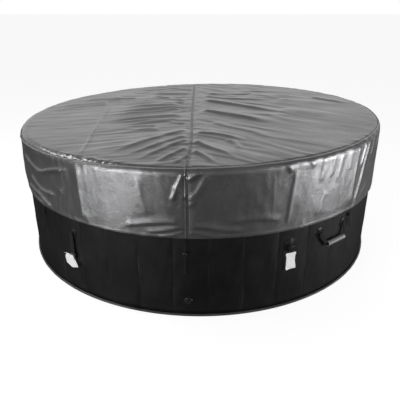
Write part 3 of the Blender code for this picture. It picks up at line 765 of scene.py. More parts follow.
def disc_grid(count):
    """Angles and distances (0 to 1) of a square grid laid over a disc, and its edge points in order."""
    t = np.linspace(-1, 1, count)
    a, b = np.meshgrid(t, t)
    wide = np.abs(a) >= np.abs(b)
    with np.errstate(divide="ignore", invalid="ignore"):
        turn = np.where(wide, math.pi / 4 * np.nan_to_num(b / a),
                        math.pi / 2 - math.pi / 4 * np.nan_to_num(a / b))
    r = np.where(wide, a, b)
    x, y = r * np.cos(turn), r * np.sin(turn)
    n = count
    edge = [n * (n - 1) + i for i in range(n)] + [n * j + n - 1 for j in range(n - 2, -1, -1)]
    edge += [i for i in range(n - 2, -1, -1)] + [n * j for j in range(1, n - 1)]
    return np.degrees(np.arctan2(x, -y)).ravel(), np.hypot(x, y).ravel(), edge


def disc_faces(count, edge, rings):
    """Faces of a disc's grid with rings of points added round its edge, numbered after the grid's."""
    first, around = count * count, len(edge)
    ids = np.array([edge] + [list(range(first + k * around, first + (k + 1) * around))
                             for k in range(rings)])
    faces = np.array(grid_faces(rings + 1, around, wrap=True))
    return grid_faces(count, count) + ids.ravel()[faces].tolist()


def cover():
    """The cloth over the top, the skirt, the piping between, the seam over the middle, the hem."""
    count = 241
    angle, share, edge = disc_grid(count)
    rim = angle[edge]
    lip = 0.0012
    seam = seam_along(rim)
    rows = 9
    down = np.linspace(0, 1, rows + 1)[1:]
    start = np.minimum(FLAT, seam - 0.006)
    top_rows = start[None, :] + (seam - lip - start)[None, :] * down[:, None]
    inner = share * np.interp(angle, *periodic(rim, start))
    points, _ = cover_surface(np.concatenate([angle, np.tile(rim, rows)]),
                              np.concatenate([inner, top_rows.ravel()]))
    top = piece_from("cover_top", points, disc_faces(count, edge, rows), "cover", CLOTH,
                     ["cover_top_left", "cover_top_right"], sharp=0)
    face_out(top)

    casing_from = 1 - (CASING + 0.004) / (SKIRT_END - FLAT)
    down = np.concatenate([np.linspace(0, casing_from, 50)[:-1], np.linspace(casing_from, 1, 14)])
    rows = len(down)
    lines = seam[None, :] + lip + (SKIRT_END - seam - lip)[None, :] * down[:, None]
    points, normals = cover_surface(np.tile(rim, rows), lines.ravel())
    last = points[-len(rim):]
    out = normals[-len(rim):]
    turn_in = [(0.0004, -0.0004), (0.0018, -0.0004), (0.0026, 0.004), (0.0026, 0.012)]
    fold = [last - out * depth + np.array([0, 0, rise]) for depth, rise in turn_in]
    points = np.concatenate([points] + fold)
    faces = grid_faces(rows + len(turn_in), len(rim), wrap=True)
    skirt = piece_from("cover_skirt", points, faces, "cover", SKIRT_CLOTH,
                       ["cover_skirt_left", "cover_skirt_right"], sharp=0)
    face_out(skirt)
    piping(rim, seam)
    centre_seam()
    hem_stitches(rim)


def periodic(x, y):
    """x in order over one turn and a bit each way, with its y, for np.interp."""
    order = np.argsort(x)
    x, y = x[order], y[order]
    return np.concatenate([x - 360, x, x + 360]), np.concatenate([y, y, y])


def face_out(piece):
    """Turns every face outwards."""
    mesh = piece.data
    centre = Vector((0, 0, 0.3))
    some = list(mesh.polygons)[::97]
    if sum(f.normal.dot(f.center - centre) < 0 for f in some) * 2 > len(some):
        mesh.flip_normals()


def seam_path():
    """The seam's line as (angle, along) from the front hem over the top to the rear hem."""
    front, rear = -3.1, -177.4
    path = [(front, a) for a in np.arange(SKIRT_END, FLAT, -0.004)]
    for y in np.arange(-0.949, 0.95, 0.005):
        x = float(seam_x(y))
        path.append((math.degrees(math.atan2(x, -y)), math.hypot(x, y)))
    path += [(rear, a) for a in np.arange(FLAT + 0.001, SKIRT_END, 0.004)]
    return np.array(path)


def beside(path, off):
    """The same path moved sideways by off metres, towards +X."""
    angle, along = path[:, 0].copy(), path[:, 1].copy()
    a = np.radians(angle)
    x, y = along * np.sin(a), -along * np.cos(a)
    flat = along < FLAT
    angle[flat] = np.degrees(np.arctan2(x[flat] + off, -y[flat]))
    along[flat] = np.hypot(x[flat] + off, y[flat])
    side = np.where(np.abs(angle) < 90, 1, -1)
    angle[~flat] += side[~flat] * math.degrees(off / R_COVER)
    return angle, along


def stitch_row(line, normals, long, gap, radius):
    """Short raised stitches along a line of points."""
    parts_v, parts_f = [], []
    reached = np.concatenate([[0], np.cumsum(np.linalg.norm(np.diff(line, axis=0), axis=1))])
    at = gap
    while at + long < reached[-1]:
        ends = [np.array([np.interp(s, reached, line[:, i]) for i in range(3)]) for s in (at, at + long)]
        up = np.array([np.interp(at, reached, normals[:, i]) for i in range(3)])
        way = (ends[1] - ends[0]) / np.linalg.norm(ends[1] - ends[0])
        side = np.cross(way, up)
        first = len(parts_v)
        for share, wide, high in ((0, 0.5, 0.0), (0.25, 1, 1), (0.75, 1, 1), (1, 0.5, 0.0)):
            spot = ends[0] + (ends[1] - ends[0]) * share
            out = side * radius * wide
            parts_v += [spot - out, spot + up * radius * (0.3 + high), spot + out]
        for k in range(3):
            a = first + 3 * k
            parts_f += [(a, a + 1, a + 4, a + 3), (a + 1, a + 2, a + 5, a + 4)]
        at += long + gap
    return parts_v, parts_f


def centre_seam():
    """The flat-felled seam over the middle, in darker cloth that paints its puckers' shade, with its two rows
    of stitches.
    """
    path = seam_path()
    half = 0.0075
    columns = []
    for off, lift in ((-1.0, -0.0004), (-0.94, 0.0010), (-0.5, 0.0014), (0, 0.0011), (0.5, 0.0014),
                      (0.94, 0.0010), (1.0, -0.0004)):
        points, normals = cover_surface(*beside(path, off * half))
        columns.append(points + normals * lift)
    rows = len(path)
    points = np.stack(columns, 1).reshape(-1, 3)
    strip = piece_from("centre_seam", points, grid_faces(rows, len(columns)), "cover", SEAM_CLOTH_SHADED, sharp=0)
    face_out(strip)
    parts = []
    for off in (-0.0040, 0.0040):
        points, normals = cover_surface(*beside(path, off))
        parts.append(stitch_row(points + normals * 0.0013, normals, 0.0036, 0.0016, 0.00055))
    piece_from("seam_stitches", *joined(*parts), "cover", THREAD, sharp=0)


def hem_stitches(rim):
    around = rim[np.argsort(rim)]
    around = np.concatenate([around, around[:1] + 360])
    points, normals = cover_surface(around, np.full(len(around), SKIRT_END - (CASING + 0.0015)))
    stitches = stitch_row(points + normals * 0.0002, normals, 0.0040, 0.0020, 0.00055)
    piece_from("hem_stitches", *stitches, "cover", THREAD, sharp=0)


def piping(rim, seam):
    points, normals = cover_surface(rim, seam)
    ring = points + normals * 0.0006
    piece_from("piping", *tube_mesh(ring, 0.0027, 8, closed=True), "cover", PIPING, ["cover_piping"],
               sharp=0)


cover()


# The inflated wall

def lobes(angle, depth):
    """How far the wall stands in at an angle: nothing in the middle of a chamber, depth at its seams."""
    t = ((angle - SEAM_ANGLE) / (360 / CHAMBERS)) % 1.0
    bulge = (1 - (2 * t - 1) ** 2) ** 0.55
    return depth * (1 - bulge)


def wall_side(name, radius, body_sign, replaced, look):
    """The outer (+1) or inner (-1) skin of the wall, with its chambers."""
    per = 14
    columns = CHAMBERS * per
    angles = np.array([SEAM_ANGLE + 360 / CHAMBERS * (k // per + spot(k % per, per)) for k in range(columns)])
    corner = WALL_CORNER
    rows = []
    foot = 0.0095
    for z in np.concatenate([np.linspace(foot, 0.03, 4), np.linspace(0.045, WALL_TOP - corner, 36)]):
        rows.append((0.004 * max(0.0, 1 - (z - foot) / 0.014), z))
    for a in np.radians(np.linspace(0, TURN_OVER, 9)[1:]):
        rows.append((corner * (1 - math.cos(a)), WALL_TOP - corner + corner * math.sin(a)))
    points = []
    for inset, z in rows:
        fade = min(1.0, max(0.0, (z - foot) / 0.03)) * min(1.0, max(0.0, (WALL_TOP - 0.012 - z) / 0.05))
        r = radius - body_sign * (inset + lobes(angles, 0.0042) * fade)
        a = np.radians(angles)
        wave = 0.0009 * np.sin(angles * 0.9 + 14 * z) + 0.0006 * np.sin(angles * 2.3 - 31 * z)
        r = r + body_sign * (wave - 0.0006) * fade
        points.append(turned(a, r, z))
    piece = piece_from(name, np.concatenate(points), grid_faces(len(rows), columns, wrap=True), "tub", look,
                       replaced, sharp=0)
    face_out(piece)
    if body_sign < 0:
        piece.data.flip_normals()
    return piece


def spot(k, per):
    """Chamber points, closer together near the seams."""
    t = k / per
    return t - 0.10 * math.sin(2 * math.pi * t)


wall_side("wall_outside", R_WALL - 0.0002, 1, ["wall_outer_skin"], WALL)
wall_side("wall_inside", R_BASIN + 0.0002, -1, ["wall_inner_skin"], LINER)


# Floor, jets, rims and webs of the tub

def turned_piece(name, outline, body, look, replaced, steps=240, ripple=None):
    """A turned surface. ripple(angle, k) adds (radius, height) to row k of the outline."""
    angles = np.arange(steps) * 360.0 / steps
    a = np.radians(angles)
    rows = []
    for k, (r, z) in enumerate(outline):
        dr, dz = ripple(angles, k) if ripple else (0.0, 0.0)
        rows.append(turned(a, r + dr, z + dz))
    return piece_from(name, np.concatenate(rows), grid_faces(len(outline), steps, wrap=True), body, look,
                      replaced, sharp=50)


def base():
    """The base sheet and its flange, with the two weld lines that show above the ground, in paler PVC that
    paints their highlight.
    """
    rim = [(0.0012, 0.0002), (0, 0.0016), (0, 0.0052), (0.0012, 0.0066), (0.0030, 0.0070)]
    rim += [(0.0046, 0.0086), (0.0066, 0.0090), (0.0080, 0.0074), (0.0120, 0.0040)]
    outline = [(0.0001, 0.0004)] + [(R_COVER - inset, z) for inset, z in rim]

    def ripple(angles, k):
        wave = 0.0006 * np.sin(angles * 1.7) + 0.0004 * np.sin(angles * 6.3 + 1)
        return (wave * 0.5 if k > 1 else 0.0), (np.abs(wave) * 0.8 if k > 3 else 0.0)

    turned_piece("base_flange", outline, "tub", FLANGE_LIT, ["base_sheet"], 400, ripple)


def floor_sheet():
    """The inner floor, with a pattern of round welds that keeps its padding flat."""
    r = R_BASIN - 0.003
    count = 141
    angle, share, _ = disc_grid(count)
    x, y = share * r * np.sin(np.radians(angle)), -share * r * np.cos(np.radians(angle))
    across, apart = 0.11, 0.11 * 0.866
    row = np.round(y / apart)
    column = np.round(x / across - 0.5 * (row % 2)) + 0.5 * (row % 2)
    away = np.hypot(x - column * across, y - row * apart)
    padded = 0.0050 * ease(away, 0.004, 0.036) * (1 - ease(share, 0.93, 1.0))
    points = np.stack([x, y, 0.0035 + padded], 1)
    piece = piece_from("floor_sheet", points, grid_faces(count, count), "tub", LINER, ["tub_floor"], sharp=0)
    face_up(piece)


def face_up(piece):
    mesh = piece.data
    if sum(f.normal.z for f in mesh.polygons) < 0:
        mesh.flip_normals()


def jets():
    """The air channel round the foot of the wall, with its row of holes."""
    half, height, z = 0.018, 0.020, 0.0069
    middle = R_BASIN - 0.026
    outline = [(middle + half * math.cos(math.radians(a)), z + height * math.sin(math.radians(a)))
               for a in range(175, 4, -10)]
    outline = [(middle - half, z)] + outline + [(middle + half, z)]

    def ripple(angles, k):
        pinch = np.exp(-(((angles / 9) % 1.0 - 0.5) / 0.06) ** 2)
        return 0.0, -0.004 * pinch * (outline[k][1] - z) / height

    turned_piece("jet_channel", outline, "tub", LINER, ["air_jet_ring"], 720, ripple)
    parts = []
    for k in range(120):
        a = 360.0 / 120 * k + 1.5
        lie = on_wall(a, z + height * 0.86, middle - half * 0.52) @ Matrix.Rotation(math.radians(-58), 4, "X")
        eyelet = [(0.0016, 0.0010), (0.0030, 0.0014), (0.0042, 0.0006), (0.0046, -0.0012),
                  (0.0012, -0.0012)]
        parts.append(moved(lathe(eyelet, 12), lie))
    piece_from("jet_eyelets", *joined(*parts), "tub", MOULDED)


def crown():
    """The top of the inflated wall, between the chambers' inner and outer skins."""
    corner, turn = WALL_CORNER, math.radians(TURN_OVER)
    low = WALL_TOP - corner + corner * math.sin(turn)
    inner = R_BASIN + corner - corner * math.cos(turn)
    outer = R_WALL - corner + corner * math.cos(turn)
    steps = 13
    outline = []
    for i in range(steps):
        t = i / (steps - 1)
        rise = low + 0.0009 + 0.0066 * (1 - (2 * t - 1) ** 4)
        outline.append((inner - GAP + (outer - inner + 2 * GAP) * t, rise))

    def ripple(angles, k):
        t = k / (steps - 1)
        return 0.0, -lobes(angles, 0.0040) * math.sin(math.pi * t)

    turned_piece("wall_crown", outline, "tub", LINER, ["wall_top_sheet"], 560, ripple)
    for radius, word in ((inner + 0.012, "inner"), (outer - 0.012, "outer")):
        ring = [round_the_wall(a, radius, low + 0.0050) for a in np.arange(0, 360, 1.5)]
        weld = tube_mesh(ring, 0.0016, 6, closed=True, squeeze=0.6)
        piece_from(f"crown_weld_{word}", *weld, "tub", LINER, sharp=0)


base()
floor_sheet()
jets()
crown()
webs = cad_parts["i_beam_webs"].data.materials
webs.clear()
webs.append(LINER[0])


# Valves, ports and their caps

def fitting(name, angle, z, flange_r, boss_r, boss_h, replaced):
    """A welded flange with a threaded boss."""
    face = 0.0004
    low, high = face + 0.003, face + 0.003 + boss_h
    outline = [(0, high - 0.0016), (boss_r - 0.0028, high - 0.0016), (boss_r - 0.0020, high)]
    outline.append((boss_r - 0.0008, high))
    thread = max(2, int(boss_h / 0.003))
    for k in range(thread):
        top = high - 0.0010 - (boss_h - 0.002) * k / thread
        step = (boss_h - 0.002) / thread
        outline += [(boss_r - 0.0008, top), (boss_r, top - 0.35 * step), (boss_r, top - 0.65 * step)]
    outline += [(boss_r - 0.0006, low + 0.0006), (boss_r + 0.0010, low), (boss_r + 0.004, low - 0.0002)]
    ring = boss_r + (flange_r - boss_r) * 0.45
    for off, z_off in ((-0.002, -0.0003), (-0.001, 0.0002), (0.001, 0.0002), (0.002, -0.0003)):
        outline.append((ring + off, low + z_off))
    outline += [(flange_r - 0.003, low - 0.0005), (flange_r - 0.001, low - 0.0010)]
    outline += [(flange_r, face + 0.0010), (flange_r + 0.0006, face - 0.0012)]
    piece_from(name, *lathe(outline, 64), "tub", MOULDED, replaced, place=on_wall(angle, z))


def cap(name, angle, z, boss_r, boss_h, wall, body, replaced, grips):
    """A screw cap with a milled rim, a raised ring and a bar to grip."""
    place = on_wall(angle, z)
    low = 0.0004 + 0.003 + GAP
    high = low + boss_h + wall
    inner, outer = boss_r * 1.022 + 0.0004, boss_r * 1.022 + wall
    outline = [(0, high - 0.0004), (outer * 0.62, high - 0.0004), (outer * 0.66, high), (outer * 0.72, high)]
    outline += [(outer - 0.0020, high - 0.0001), (outer - 0.0008, high - 0.0006)]
    outline += [(outer - 0.0004, high - 0.0018), (outer - 0.0006, high - 0.0026)]
    outline += [(outer - 0.0006, low + 0.0012), (outer - 0.0002, low + 0.0006)]
    outline += [(outer - 0.0002, low), (inner, low), (inner, high - wall + GAP), (0, high - wall + GAP)]
    shell = lathe(outline, grips * 6, grips, 0.0006, (7, 8))
    half, thick = outer * 0.8, wall * 0.6
    bar = rounded_box((-half, -thick, high - 0.0012), (half, thick, high + wall), min(thick, wall) * 0.45, 3)
    piece_from(name, *joined(shell, bar), body, MOULDED, replaced, place=place)


def valves_and_ports():
    fitting("drain_valve", *DRAIN, 0.019, 0.0075, 0.006, ["drain_valve_body"])
    cap("drain_cap", *DRAIN, 0.0075, 0.006, 0.003, "drain_cap", ["drain_valve_cap"], 16)
    fitting("air_valve", *AIR_VALVE, 0.034, 0.018, 0.010, ["air_valve_body"])
    cap("air_valve_cap_top", *AIR_VALVE, 0.018, 0.010, 0.003, "air_valve_cap", ["air_valve_cap"], 24)
    for name, (angle, z) in PORTS.items():
        fitting(name, angle, z, 0.050, 0.030, 0.018, [name + "_body"])
        cap(name + "_screw_cap", angle, z, 0.030, 0.018, 0.004, name + "_cap", [name + "_cap"], 32)


valves_and_ports()


# Patches, buckles, clips and tags

def buckle_angle(k):
    return BUCKLE_FIRST + 360 / BUCKLES * k


def hinge_of(k):
    return on_wall(buckle_angle(k), BUCKLE_Z, R_WALL + BUCKLE_STANDOFF)


def patch(name, radius, angle, z, replaced):
    """A round welded patch, with an embossed ring and a sealed rim, bent to the wall."""
    face = 0.0004
    rings = [(0, 0.0018), (0.30, 0.0018), (0.36, 0.0010), (0.42, 0.0018), (0.66, 0.0017), (0.70, 0.0009)]
    rings += [(0.78, 0.0009), (0.82, 0.0019)]
    outline = [(radius * share, face + lift) for share, lift in rings] + [(radius - 0.002, face + 0.0018)]
    outline += [(radius - 0.0006, face + 0.0012), (radius, face), (radius + 0.0004, face - 0.0016)]
    verts, faces = lathe(outline, 72)
    bent = [(x, y, z - x * x / (2 * R_WALL)) for x, y, z in verts]
    piece_from(name, bent, faces, "tub", PATCH, replaced, place=on_wall(angle, z))


def band(points, normals, width, thick):
    """Webbing along points: verts, faces and a UV in metres for each vertex."""
    pts = [Vector(p) for p in points]
    verts, faces, uv = [], [], []
    reached = 0.0
    section = [(-0.5, -0.35), (-0.46, -0.5), (0.46, -0.5), (0.5, -0.35), (0.5, 0.35), (0.46, 0.5),
               (-0.46, 0.5), (-0.5, 0.35)]
    around = [-0.52, -0.46, 0.46, 0.50, 0.52, 0.46, -0.46, -0.50]
    for i, (p, n) in enumerate(zip(pts, normals)):
        way = (pts[min(i + 1, len(pts) - 1)] - pts[max(i - 1, 0)]).normalized()
        n = (Vector(n) - way * Vector(n).dot(way)).normalized()
        side = way.cross(n)
        if i:
            reached += (p - pts[i - 1]).length
        for (s, t), u in zip(section, around):
            verts.append(p + side * (s * width) + n * (t * thick))
            uv.append((u * width, reached))
    k = len(section)
    for i in range(len(pts) - 1):
        for j in range(k):
            m = (j + 1) % k
            faces.append((i * k + j, i * k + m, (i + 1) * k + m, (i + 1) * k + j))
    faces.append(tuple(reversed(range(k))))
    faces.append(tuple(range((len(pts) - 1) * k, len(pts) * k)))
    return verts, faces, uv


def straight(a, b, count):
    a, b = Vector(a), Vector(b)
    return [a + (b - a) * (i / (count - 1)) for i in range(count)]


def buckle_socket(long):
    """The female half of a side-release buckle, in its hinge's frame."""
    width, tall, thick = SOCKET
    low = -0.0025
    high = low + thick
    top, bottom = -long, -long - tall
    half, plate_thick = width / 2, 0.0018
    # front plate and back plate, with waisted sides
    outline = []
    for t in np.linspace(0, 1, 9):
        waist = 0.0030 * math.sin(math.pi * min(1, max(0, (t - 0.25) / 0.6)))
        outline.append((half - 0.0004 - waist, top - 0.0010 + (bottom - top + 0.0016) * t))
    ring = outline + [(-x, y) for x, y in reversed(outline)]
    parts = [plate(ring, high - plate_thick, high, 0.0006), plate(ring, low, low + plate_thick, 0.0006)]
    # side rails, the strap bar and the web loop above it
    for sign in (-1, 1):
        x0, x1 = sorted((sign * (half - 0.0004), sign * (half - 0.0032)))
        for y0, y1 in ((top - 0.0100, top - 0.0008), (bottom + 0.0004, bottom + 0.0062)):
            parts.append(rounded_box((x0, y0, low + 0.0002), (x1, y1, high - 0.0002), 0.0006))
    parts.append(rounded_box((-half + 0.002, top - 0.0112, low + 0.001),
                             (half - 0.002, top - 0.0080, high - 0.001), 0.0008))
    return joined(*parts)


def plate(ring, low, high, radius):
    """A flat plate from an outline, with its edges rounded."""
    shape = bmesh.new()
    face = shape.faces.new([shape.verts.new((x, y, low)) for x, y in ring])
    made = bmesh.ops.extrude_face_region(shape, geom=[face])
    raised = [v for v in made["geom"] if isinstance(v, bmesh.types.BMVert)]
    bmesh.ops.translate(shape, verts=raised, vec=(0, 0, high - low))
    bmesh.ops.recalc_face_normals(shape, faces=shape.faces[:])
    rim = [e for e in shape.edges if abs((e.verts[0].co - e.verts[1].co).z) < 1e-6]
    bmesh.ops.bevel(shape, geom=rim, offset=radius, segments=2, profile=0.5, affect="EDGES")
    return part_of(shape)


def buckles():
    for k, long in enumerate(STRAP_LENGTHS):
        body = f"buckle_{k + 1}"
        patch(f"patch_{k + 1}", 0.0265, buckle_angle(k), BUCKLE_Z, [f"buckle_patch_{k + 1}"])
        hinge = hinge_of(k)
        piece_from(f"buckle_socket_{k + 1}", *buckle_socket(long), body, MOULDED,
                   [f"wall_buckle_{k + 1}"], place=hinge)
        bridge = rounded_box((-0.0135, -0.0015, -0.0052), (0.0135, 0.0015, 0.0014), 0.0006)
        piece_from(f"strap_anchor_{k + 1}", *bridge, "tub", PATCH, place=hinge)
        spots = [(0, 0.0, 0.0030), (0, -0.0030, 0.0030), (0, -long * 0.5 - 0.002, 0.0032)]
        spots += [(0, -long - 0.004, 0.0034), (0, -long - 0.0100, 0.0026), (0, -long - 0.0108, 0.0000)]
        line = smooth([Vector(s) for s in spots], 22)
        verts, faces, uv = band(line, [Vector((0, 0, 1))] * 20 + [Vector((0, -0.7, 0.7))] * 2, 0.022, 0.0015)
        piece_from(f"buckle_strap_{k + 1}", verts, faces, body, WEBBING, place=hinge, uv=uv)


def clip(k):
    """A strap with the male half of the buckle, hung from the lid's skirt."""
    angle = buckle_angle(k)
    z = LID_HEM - 0.001 + LEAN * R_WALL * math.sin(math.radians(angle))
    place = on_wall(angle, z)
    neck, end, low, high = -0.101, -0.135, 0.0010, 0.0040
    middle = (low + high) / 2
    line = straight((0, 0.012, middle + 0.0006), (0, neck - 0.002, middle), 16)
    verts, faces, uv = band(line, [Vector((0, 0, 1))] * 16, 0.0215, 0.0016)
    piece_from(f"lid_strap_{k + 1}", verts, faces, "lid", WEBBING, [f"lid_clip_{k + 1}"], place=place, uv=uv)
    parts = [rounded_box((-0.0112, neck - 0.0035, low), (0.0112, neck + 0.0035, high), 0.0008)]
    for sign in (-1, 1):
        prong = [(sign * 0.0072, neck - 0.002), (sign * 0.0112, neck - 0.002), (sign * 0.0112, neck - 0.012)]
        prong += [(sign * 0.0094, neck - 0.016), (sign * 0.0114, neck - 0.020), (sign * 0.0098, neck - 0.029)]
        prong += [(sign * 0.0072, neck - 0.031), (sign * 0.0066, neck - 0.016)]
        if sign > 0:
            prong.reverse()
        parts.append(plate(prong, low + 0.0003, high - 0.0003, 0.0004))
    parts.append(rounded_box((-0.0024, end + 0.001, low + 0.0004), (0.0024, neck, high - 0.0004), 0.0006))
    piece_from(f"lid_clip_plug_{k + 1}", *joined(*parts), "lid", MOULDED, place=place)
    stitch_box = rounded_box((-0.0120, 0.0015, low - 0.0002), (0.0120, 0.0185, high - 0.0008), 0.0008)
    piece_from(f"clip_patch_{k + 1}", *stitch_box, "lid", WEBBING, place=place)


def tag_sheet(name, body, place, shape_at, replaced):
    """A blank tag: a film 0.5 mm thick, bent by shape_at(u, v) into a point in its frame."""
    rows, columns = 30, 20
    front, back = [], []
    for j in range(rows):
        for i in range(columns):
            u, v = i / (columns - 1), j / (rows - 1)
            here = Vector(shape_at(u, v))
            du = Vector(shape_at(min(u + 0.02, 1), v)) - Vector(shape_at(max(u - 0.02, 0), v))
            dv = Vector(shape_at(u, min(v + 0.02, 1))) - Vector(shape_at(u, max(v - 0.02, 0)))
            normal = dv.cross(du).normalized()
            front.append(here + normal * 0.00025)
            back.append(here - normal * 0.00025)
    faces = grid_faces(rows, columns)
    under = [tuple(reversed(f)) for f in grid_faces(rows, columns, first=rows * columns)]
    rim = [j * columns for j in range(rows)] + [(rows - 1) * columns + i for i in range(1, columns)]
    rim += [j * columns + columns - 1 for j in range(rows - 2, -1, -1)] + list(range(columns - 2, 0, -1))
    n = rows * columns
    walls = [(a, a + n, b + n, b) for a, b in zip(rim, rim[1:] + rim[:1])]
    return piece_from(name, front + back, faces + under + walls, body, TAG, replaced, place=place, sharp=50)


def tags():
    def on_buckle(k, y, out):
        return hinge_of(k) @ Matrix.Translation((0, y, out))

    def right(u, v):
        wide, long = 0.049, 0.081
        x = (u - 0.5) * wide * (1 - 0.07 * math.sin(math.pi * v) + 0.03 * math.sin(17 * v)) + 0.004 * v
        y = -long * v - 0.0015 * math.sin(6.0 * u + 1.0) * v
        z = 0.0016 * math.sin(7.0 * v + 2.0 * u) + 0.0022 * (u - 0.5) * math.sin(9.0 * v) + 0.002 * v
        return x, y, z + 0.0030 * noise.noise((u * 5.0, v * 7.0, 0.3))

    def left(u, v):
        # a fan that has curled over: two prongs on top, wide and round below
        wide, long = 0.080, 0.058
        spreading = 0.40 + 0.60 * math.sin(math.pi * 0.5 * min(1.0, v * 1.3))
        x = (u - 0.5) * wide * spreading + 0.012 * v - 0.019
        prong = 0.010 * max(0.0, math.cos(4 * math.pi * (u - 0.5))) ** 2
        prong = prong * (1 - ease(v, 0.0, 0.35)) * (abs(u - 0.5) > 0.12)
        fall = 0.30 * (2 * u - 1.0) ** 2 * v
        y = -long * (v - fall * 0.55) + 0.012 * (0.5 - u) * v + float(prong)
        z = 0.0070 * math.sin(math.pi * u) * v
        z = z + 0.0024 * math.sin(13.0 * u) * v * (1.4 - 0.8 * v) + 0.0035
        return x, y, z + 1.9 * max(0.0, y) + 0.0024 * ease(v, 0, 0.2) * noise.noise((u * 6.0, v * 5.0, 4.7))

    tag_sheet("blank_tag_right", "right_tag", on_buckle(0, -0.0400, 0.0026), right, ["tag_right"])
    tag_sheet("blank_tag_left", "left_tag", on_buckle(5, -0.1120, 0.0085), left, ["tag_left"])


buckles()
for k in range(BUCKLES):
    clip(k)
tags()


# Carry handles

def handle(k):
    angle = HANDLE_ANGLES[k]
    body = f"handle_{k + 1}"
    for side, word in ((-1, "left"), (1, "right")):
        at = angle + side * HANDLE_HALF_ANGLE
        patch(f"handle_base_{k + 1}_{word}", 0.024, at, HANDLE_Z, [f"handle_patch_{k + 1}_{word}"])
        tab = rounded_box((-0.0095, 0.0020, -0.0042), (0.0095, 0.0135, 0.0006), 0.0008)
        piece_from(f"handle_tab_{k + 1}_{word}", *tab, "tub", WEBBING,
                   place=on_wall(at, HANDLE_Z, HANDLE_R))
    place = on_wall(angle, HANDLE_Z, HANDLE_R)
    reach = R_WALL * math.sin(math.radians(HANDLE_HALF_ANGLE))
    left, right = GRIP_FROM - 0.006, GRIP_TO + 0.0105
    route = [(-reach, 0.0, 0.0), (-reach + 0.012, -0.030, 0.006)]
    route += [(left - 0.002, -HANDLE_DROP + 0.010, GRIP_OUT - 0.001), (left + 0.008, -HANDLE_DROP, GRIP_OUT)]
    route += [(0.0, -HANDLE_DROP, GRIP_OUT), (right - 0.010, -HANDLE_DROP, GRIP_OUT)]
    route += [(right, -HANDLE_DROP + 0.010, GRIP_OUT - 0.001)]
    route += [(reach + 0.001, -0.030, 0.006), (reach, 0.0, 0.0)]
    line = smooth([Vector(p) for p in route], 90)
    verts, faces, uv = band(line, [Vector((0, 0, 1))] * 90, 0.0155, 0.0024)
    piece_from(f"handle_webbing_{k + 1}", verts, faces, body, WEBBING, [f"handle_strap_{k + 1}"],
               place=place, uv=uv)
    long = GRIP_TO - GRIP_FROM
    outline = [(0.0088, 0.0002), (GRIP_R - 0.002, 0.0), (GRIP_R - 0.0006, 0.0006)]
    outline += [(GRIP_R, 0.002), (GRIP_R, 0.006)]
    ribs = 9
    for i in range(ribs):
        start = 0.009 + (long - 0.018) * i / ribs
        step = (long - 0.018) / ribs
        outline += [(GRIP_R - 0.0011, start), (GRIP_R - 0.0011, start + 0.15 * step)]
        outline += [(GRIP_R - 0.0002, start + 0.3 * step), (GRIP_R, start + 0.55 * step)]
        outline += [(GRIP_R - 0.0002, start + 0.8 * step), (GRIP_R - 0.0011, start + 0.95 * step)]
    outline += [(GRIP_R, long - 0.006), (GRIP_R, long - 0.002), (GRIP_R - 0.0006, long - 0.0006)]
    outline += [(GRIP_R - 0.002, long), (0.0088, long - 0.0002)]
    flipped = [(r, long - z) for r, z in outline]
    lie = place @ Matrix.Translation((GRIP_FROM, -HANDLE_DROP, GRIP_OUT))
    lie = lie @ Matrix.Rotation(math.pi / 2, 4, "Y")
    piece_from(f"grip_{k + 1}", *lathe(flipped, 40), body, GRIP, [f"handle_grip_{k + 1}"], place=lie)


for k in range(len(HANDLE_ANGLES)):
    handle(k)


# Lid

def lean_up(points):
    found = np.array(points, float)
    found[:, 2] += LEAN * found[:, 0]
    return found


def lid():
    """The buckled lid: a PVC top with radial welds, its skirt, and the air pad under it."""
    top = COVER_TOP - 0.007
    count = 161
    angle, share, edge = disc_grid(count)
    r = 0.955
    x, y = share * r * np.sin(np.radians(angle)), -share * r * np.cos(np.radians(angle))
    spoke = np.abs(((angle / 45.0 + 0.5) % 1.0) - 0.5) * 45.0
    off = share * r * np.sin(np.radians(spoke))
    groove = np.exp(-(off / 0.007) ** 2) * ease(share, 0.14, 0.2)
    groove = np.maximum(groove, np.exp(-((share * r - 0.16) / 0.006) ** 2))
    z = top - 0.0028 + 0.0022 * (1 - groove) - 0.004 * share ** 8
    grid = np.stack([x, y, z], 1)
    ring = [(0.9600, top - 0.0058), (0.9655, top - 0.0072), (0.9700, top - 0.0098), (0.9728, top - 0.0135)]
    ring += [(0.9744, top - 0.0180), (0.9748, top - 0.0240)]
    ring += [(0.9748, LID_HEM + 0.030 - 0.010 * j) for j in range(2)]
    ring += [(0.9753, LID_HEM + 0.014), (0.9748, LID_HEM + 0.010), (0.9748, LID_HEM + 0.004)]
    ring.append((0.9750, LID_HEM))
    a = np.radians(angle[edge])
    sides = [turned(a, *point) for point in ring]
    piece = piece_from("lid_shell", lean_up(np.concatenate([grid] + sides)),
                       disc_faces(count, edge, len(ring)), "lid", LINER,
                       ["lid_top_sheet", "lid_skirt"], sharp=0)
    face_out(piece)

    valve, edge_r, low, high = 0.012, 0.948, WALL_TOP + 0.0205, top - 0.0040
    middle, bulge = (low + high) / 2, 0.018
    outline = []
    for i in range(25):
        t = i / 24
        rib = 0.0045 * (1 - abs(math.sin(math.pi * 5.5 * t)) ** 0.7)
        outline.append((valve + (edge_r - bulge - valve) * t, low + rib))
    for b in range(-80, 90, 20):
        b = math.radians(b)
        outline.append((edge_r - bulge + bulge * math.cos(b),
                        middle + (middle - low) * 0.96 * math.sin(b)))
    outline += [(edge_r - 0.05, high), (0.4, high), (valve, high)]
    columns = 240
    a = np.radians(np.arange(columns) * 360.0 / columns)
    rows = [turned(a, *point) for point in outline]
    pad = piece_from("lid_air_pad", lean_up(np.concatenate(rows)),
                     grid_faces(len(outline), columns, wrap=True), "lid", LINER, ["lid_bladder"],
                     sharp=0)


lid()


# Floor, light

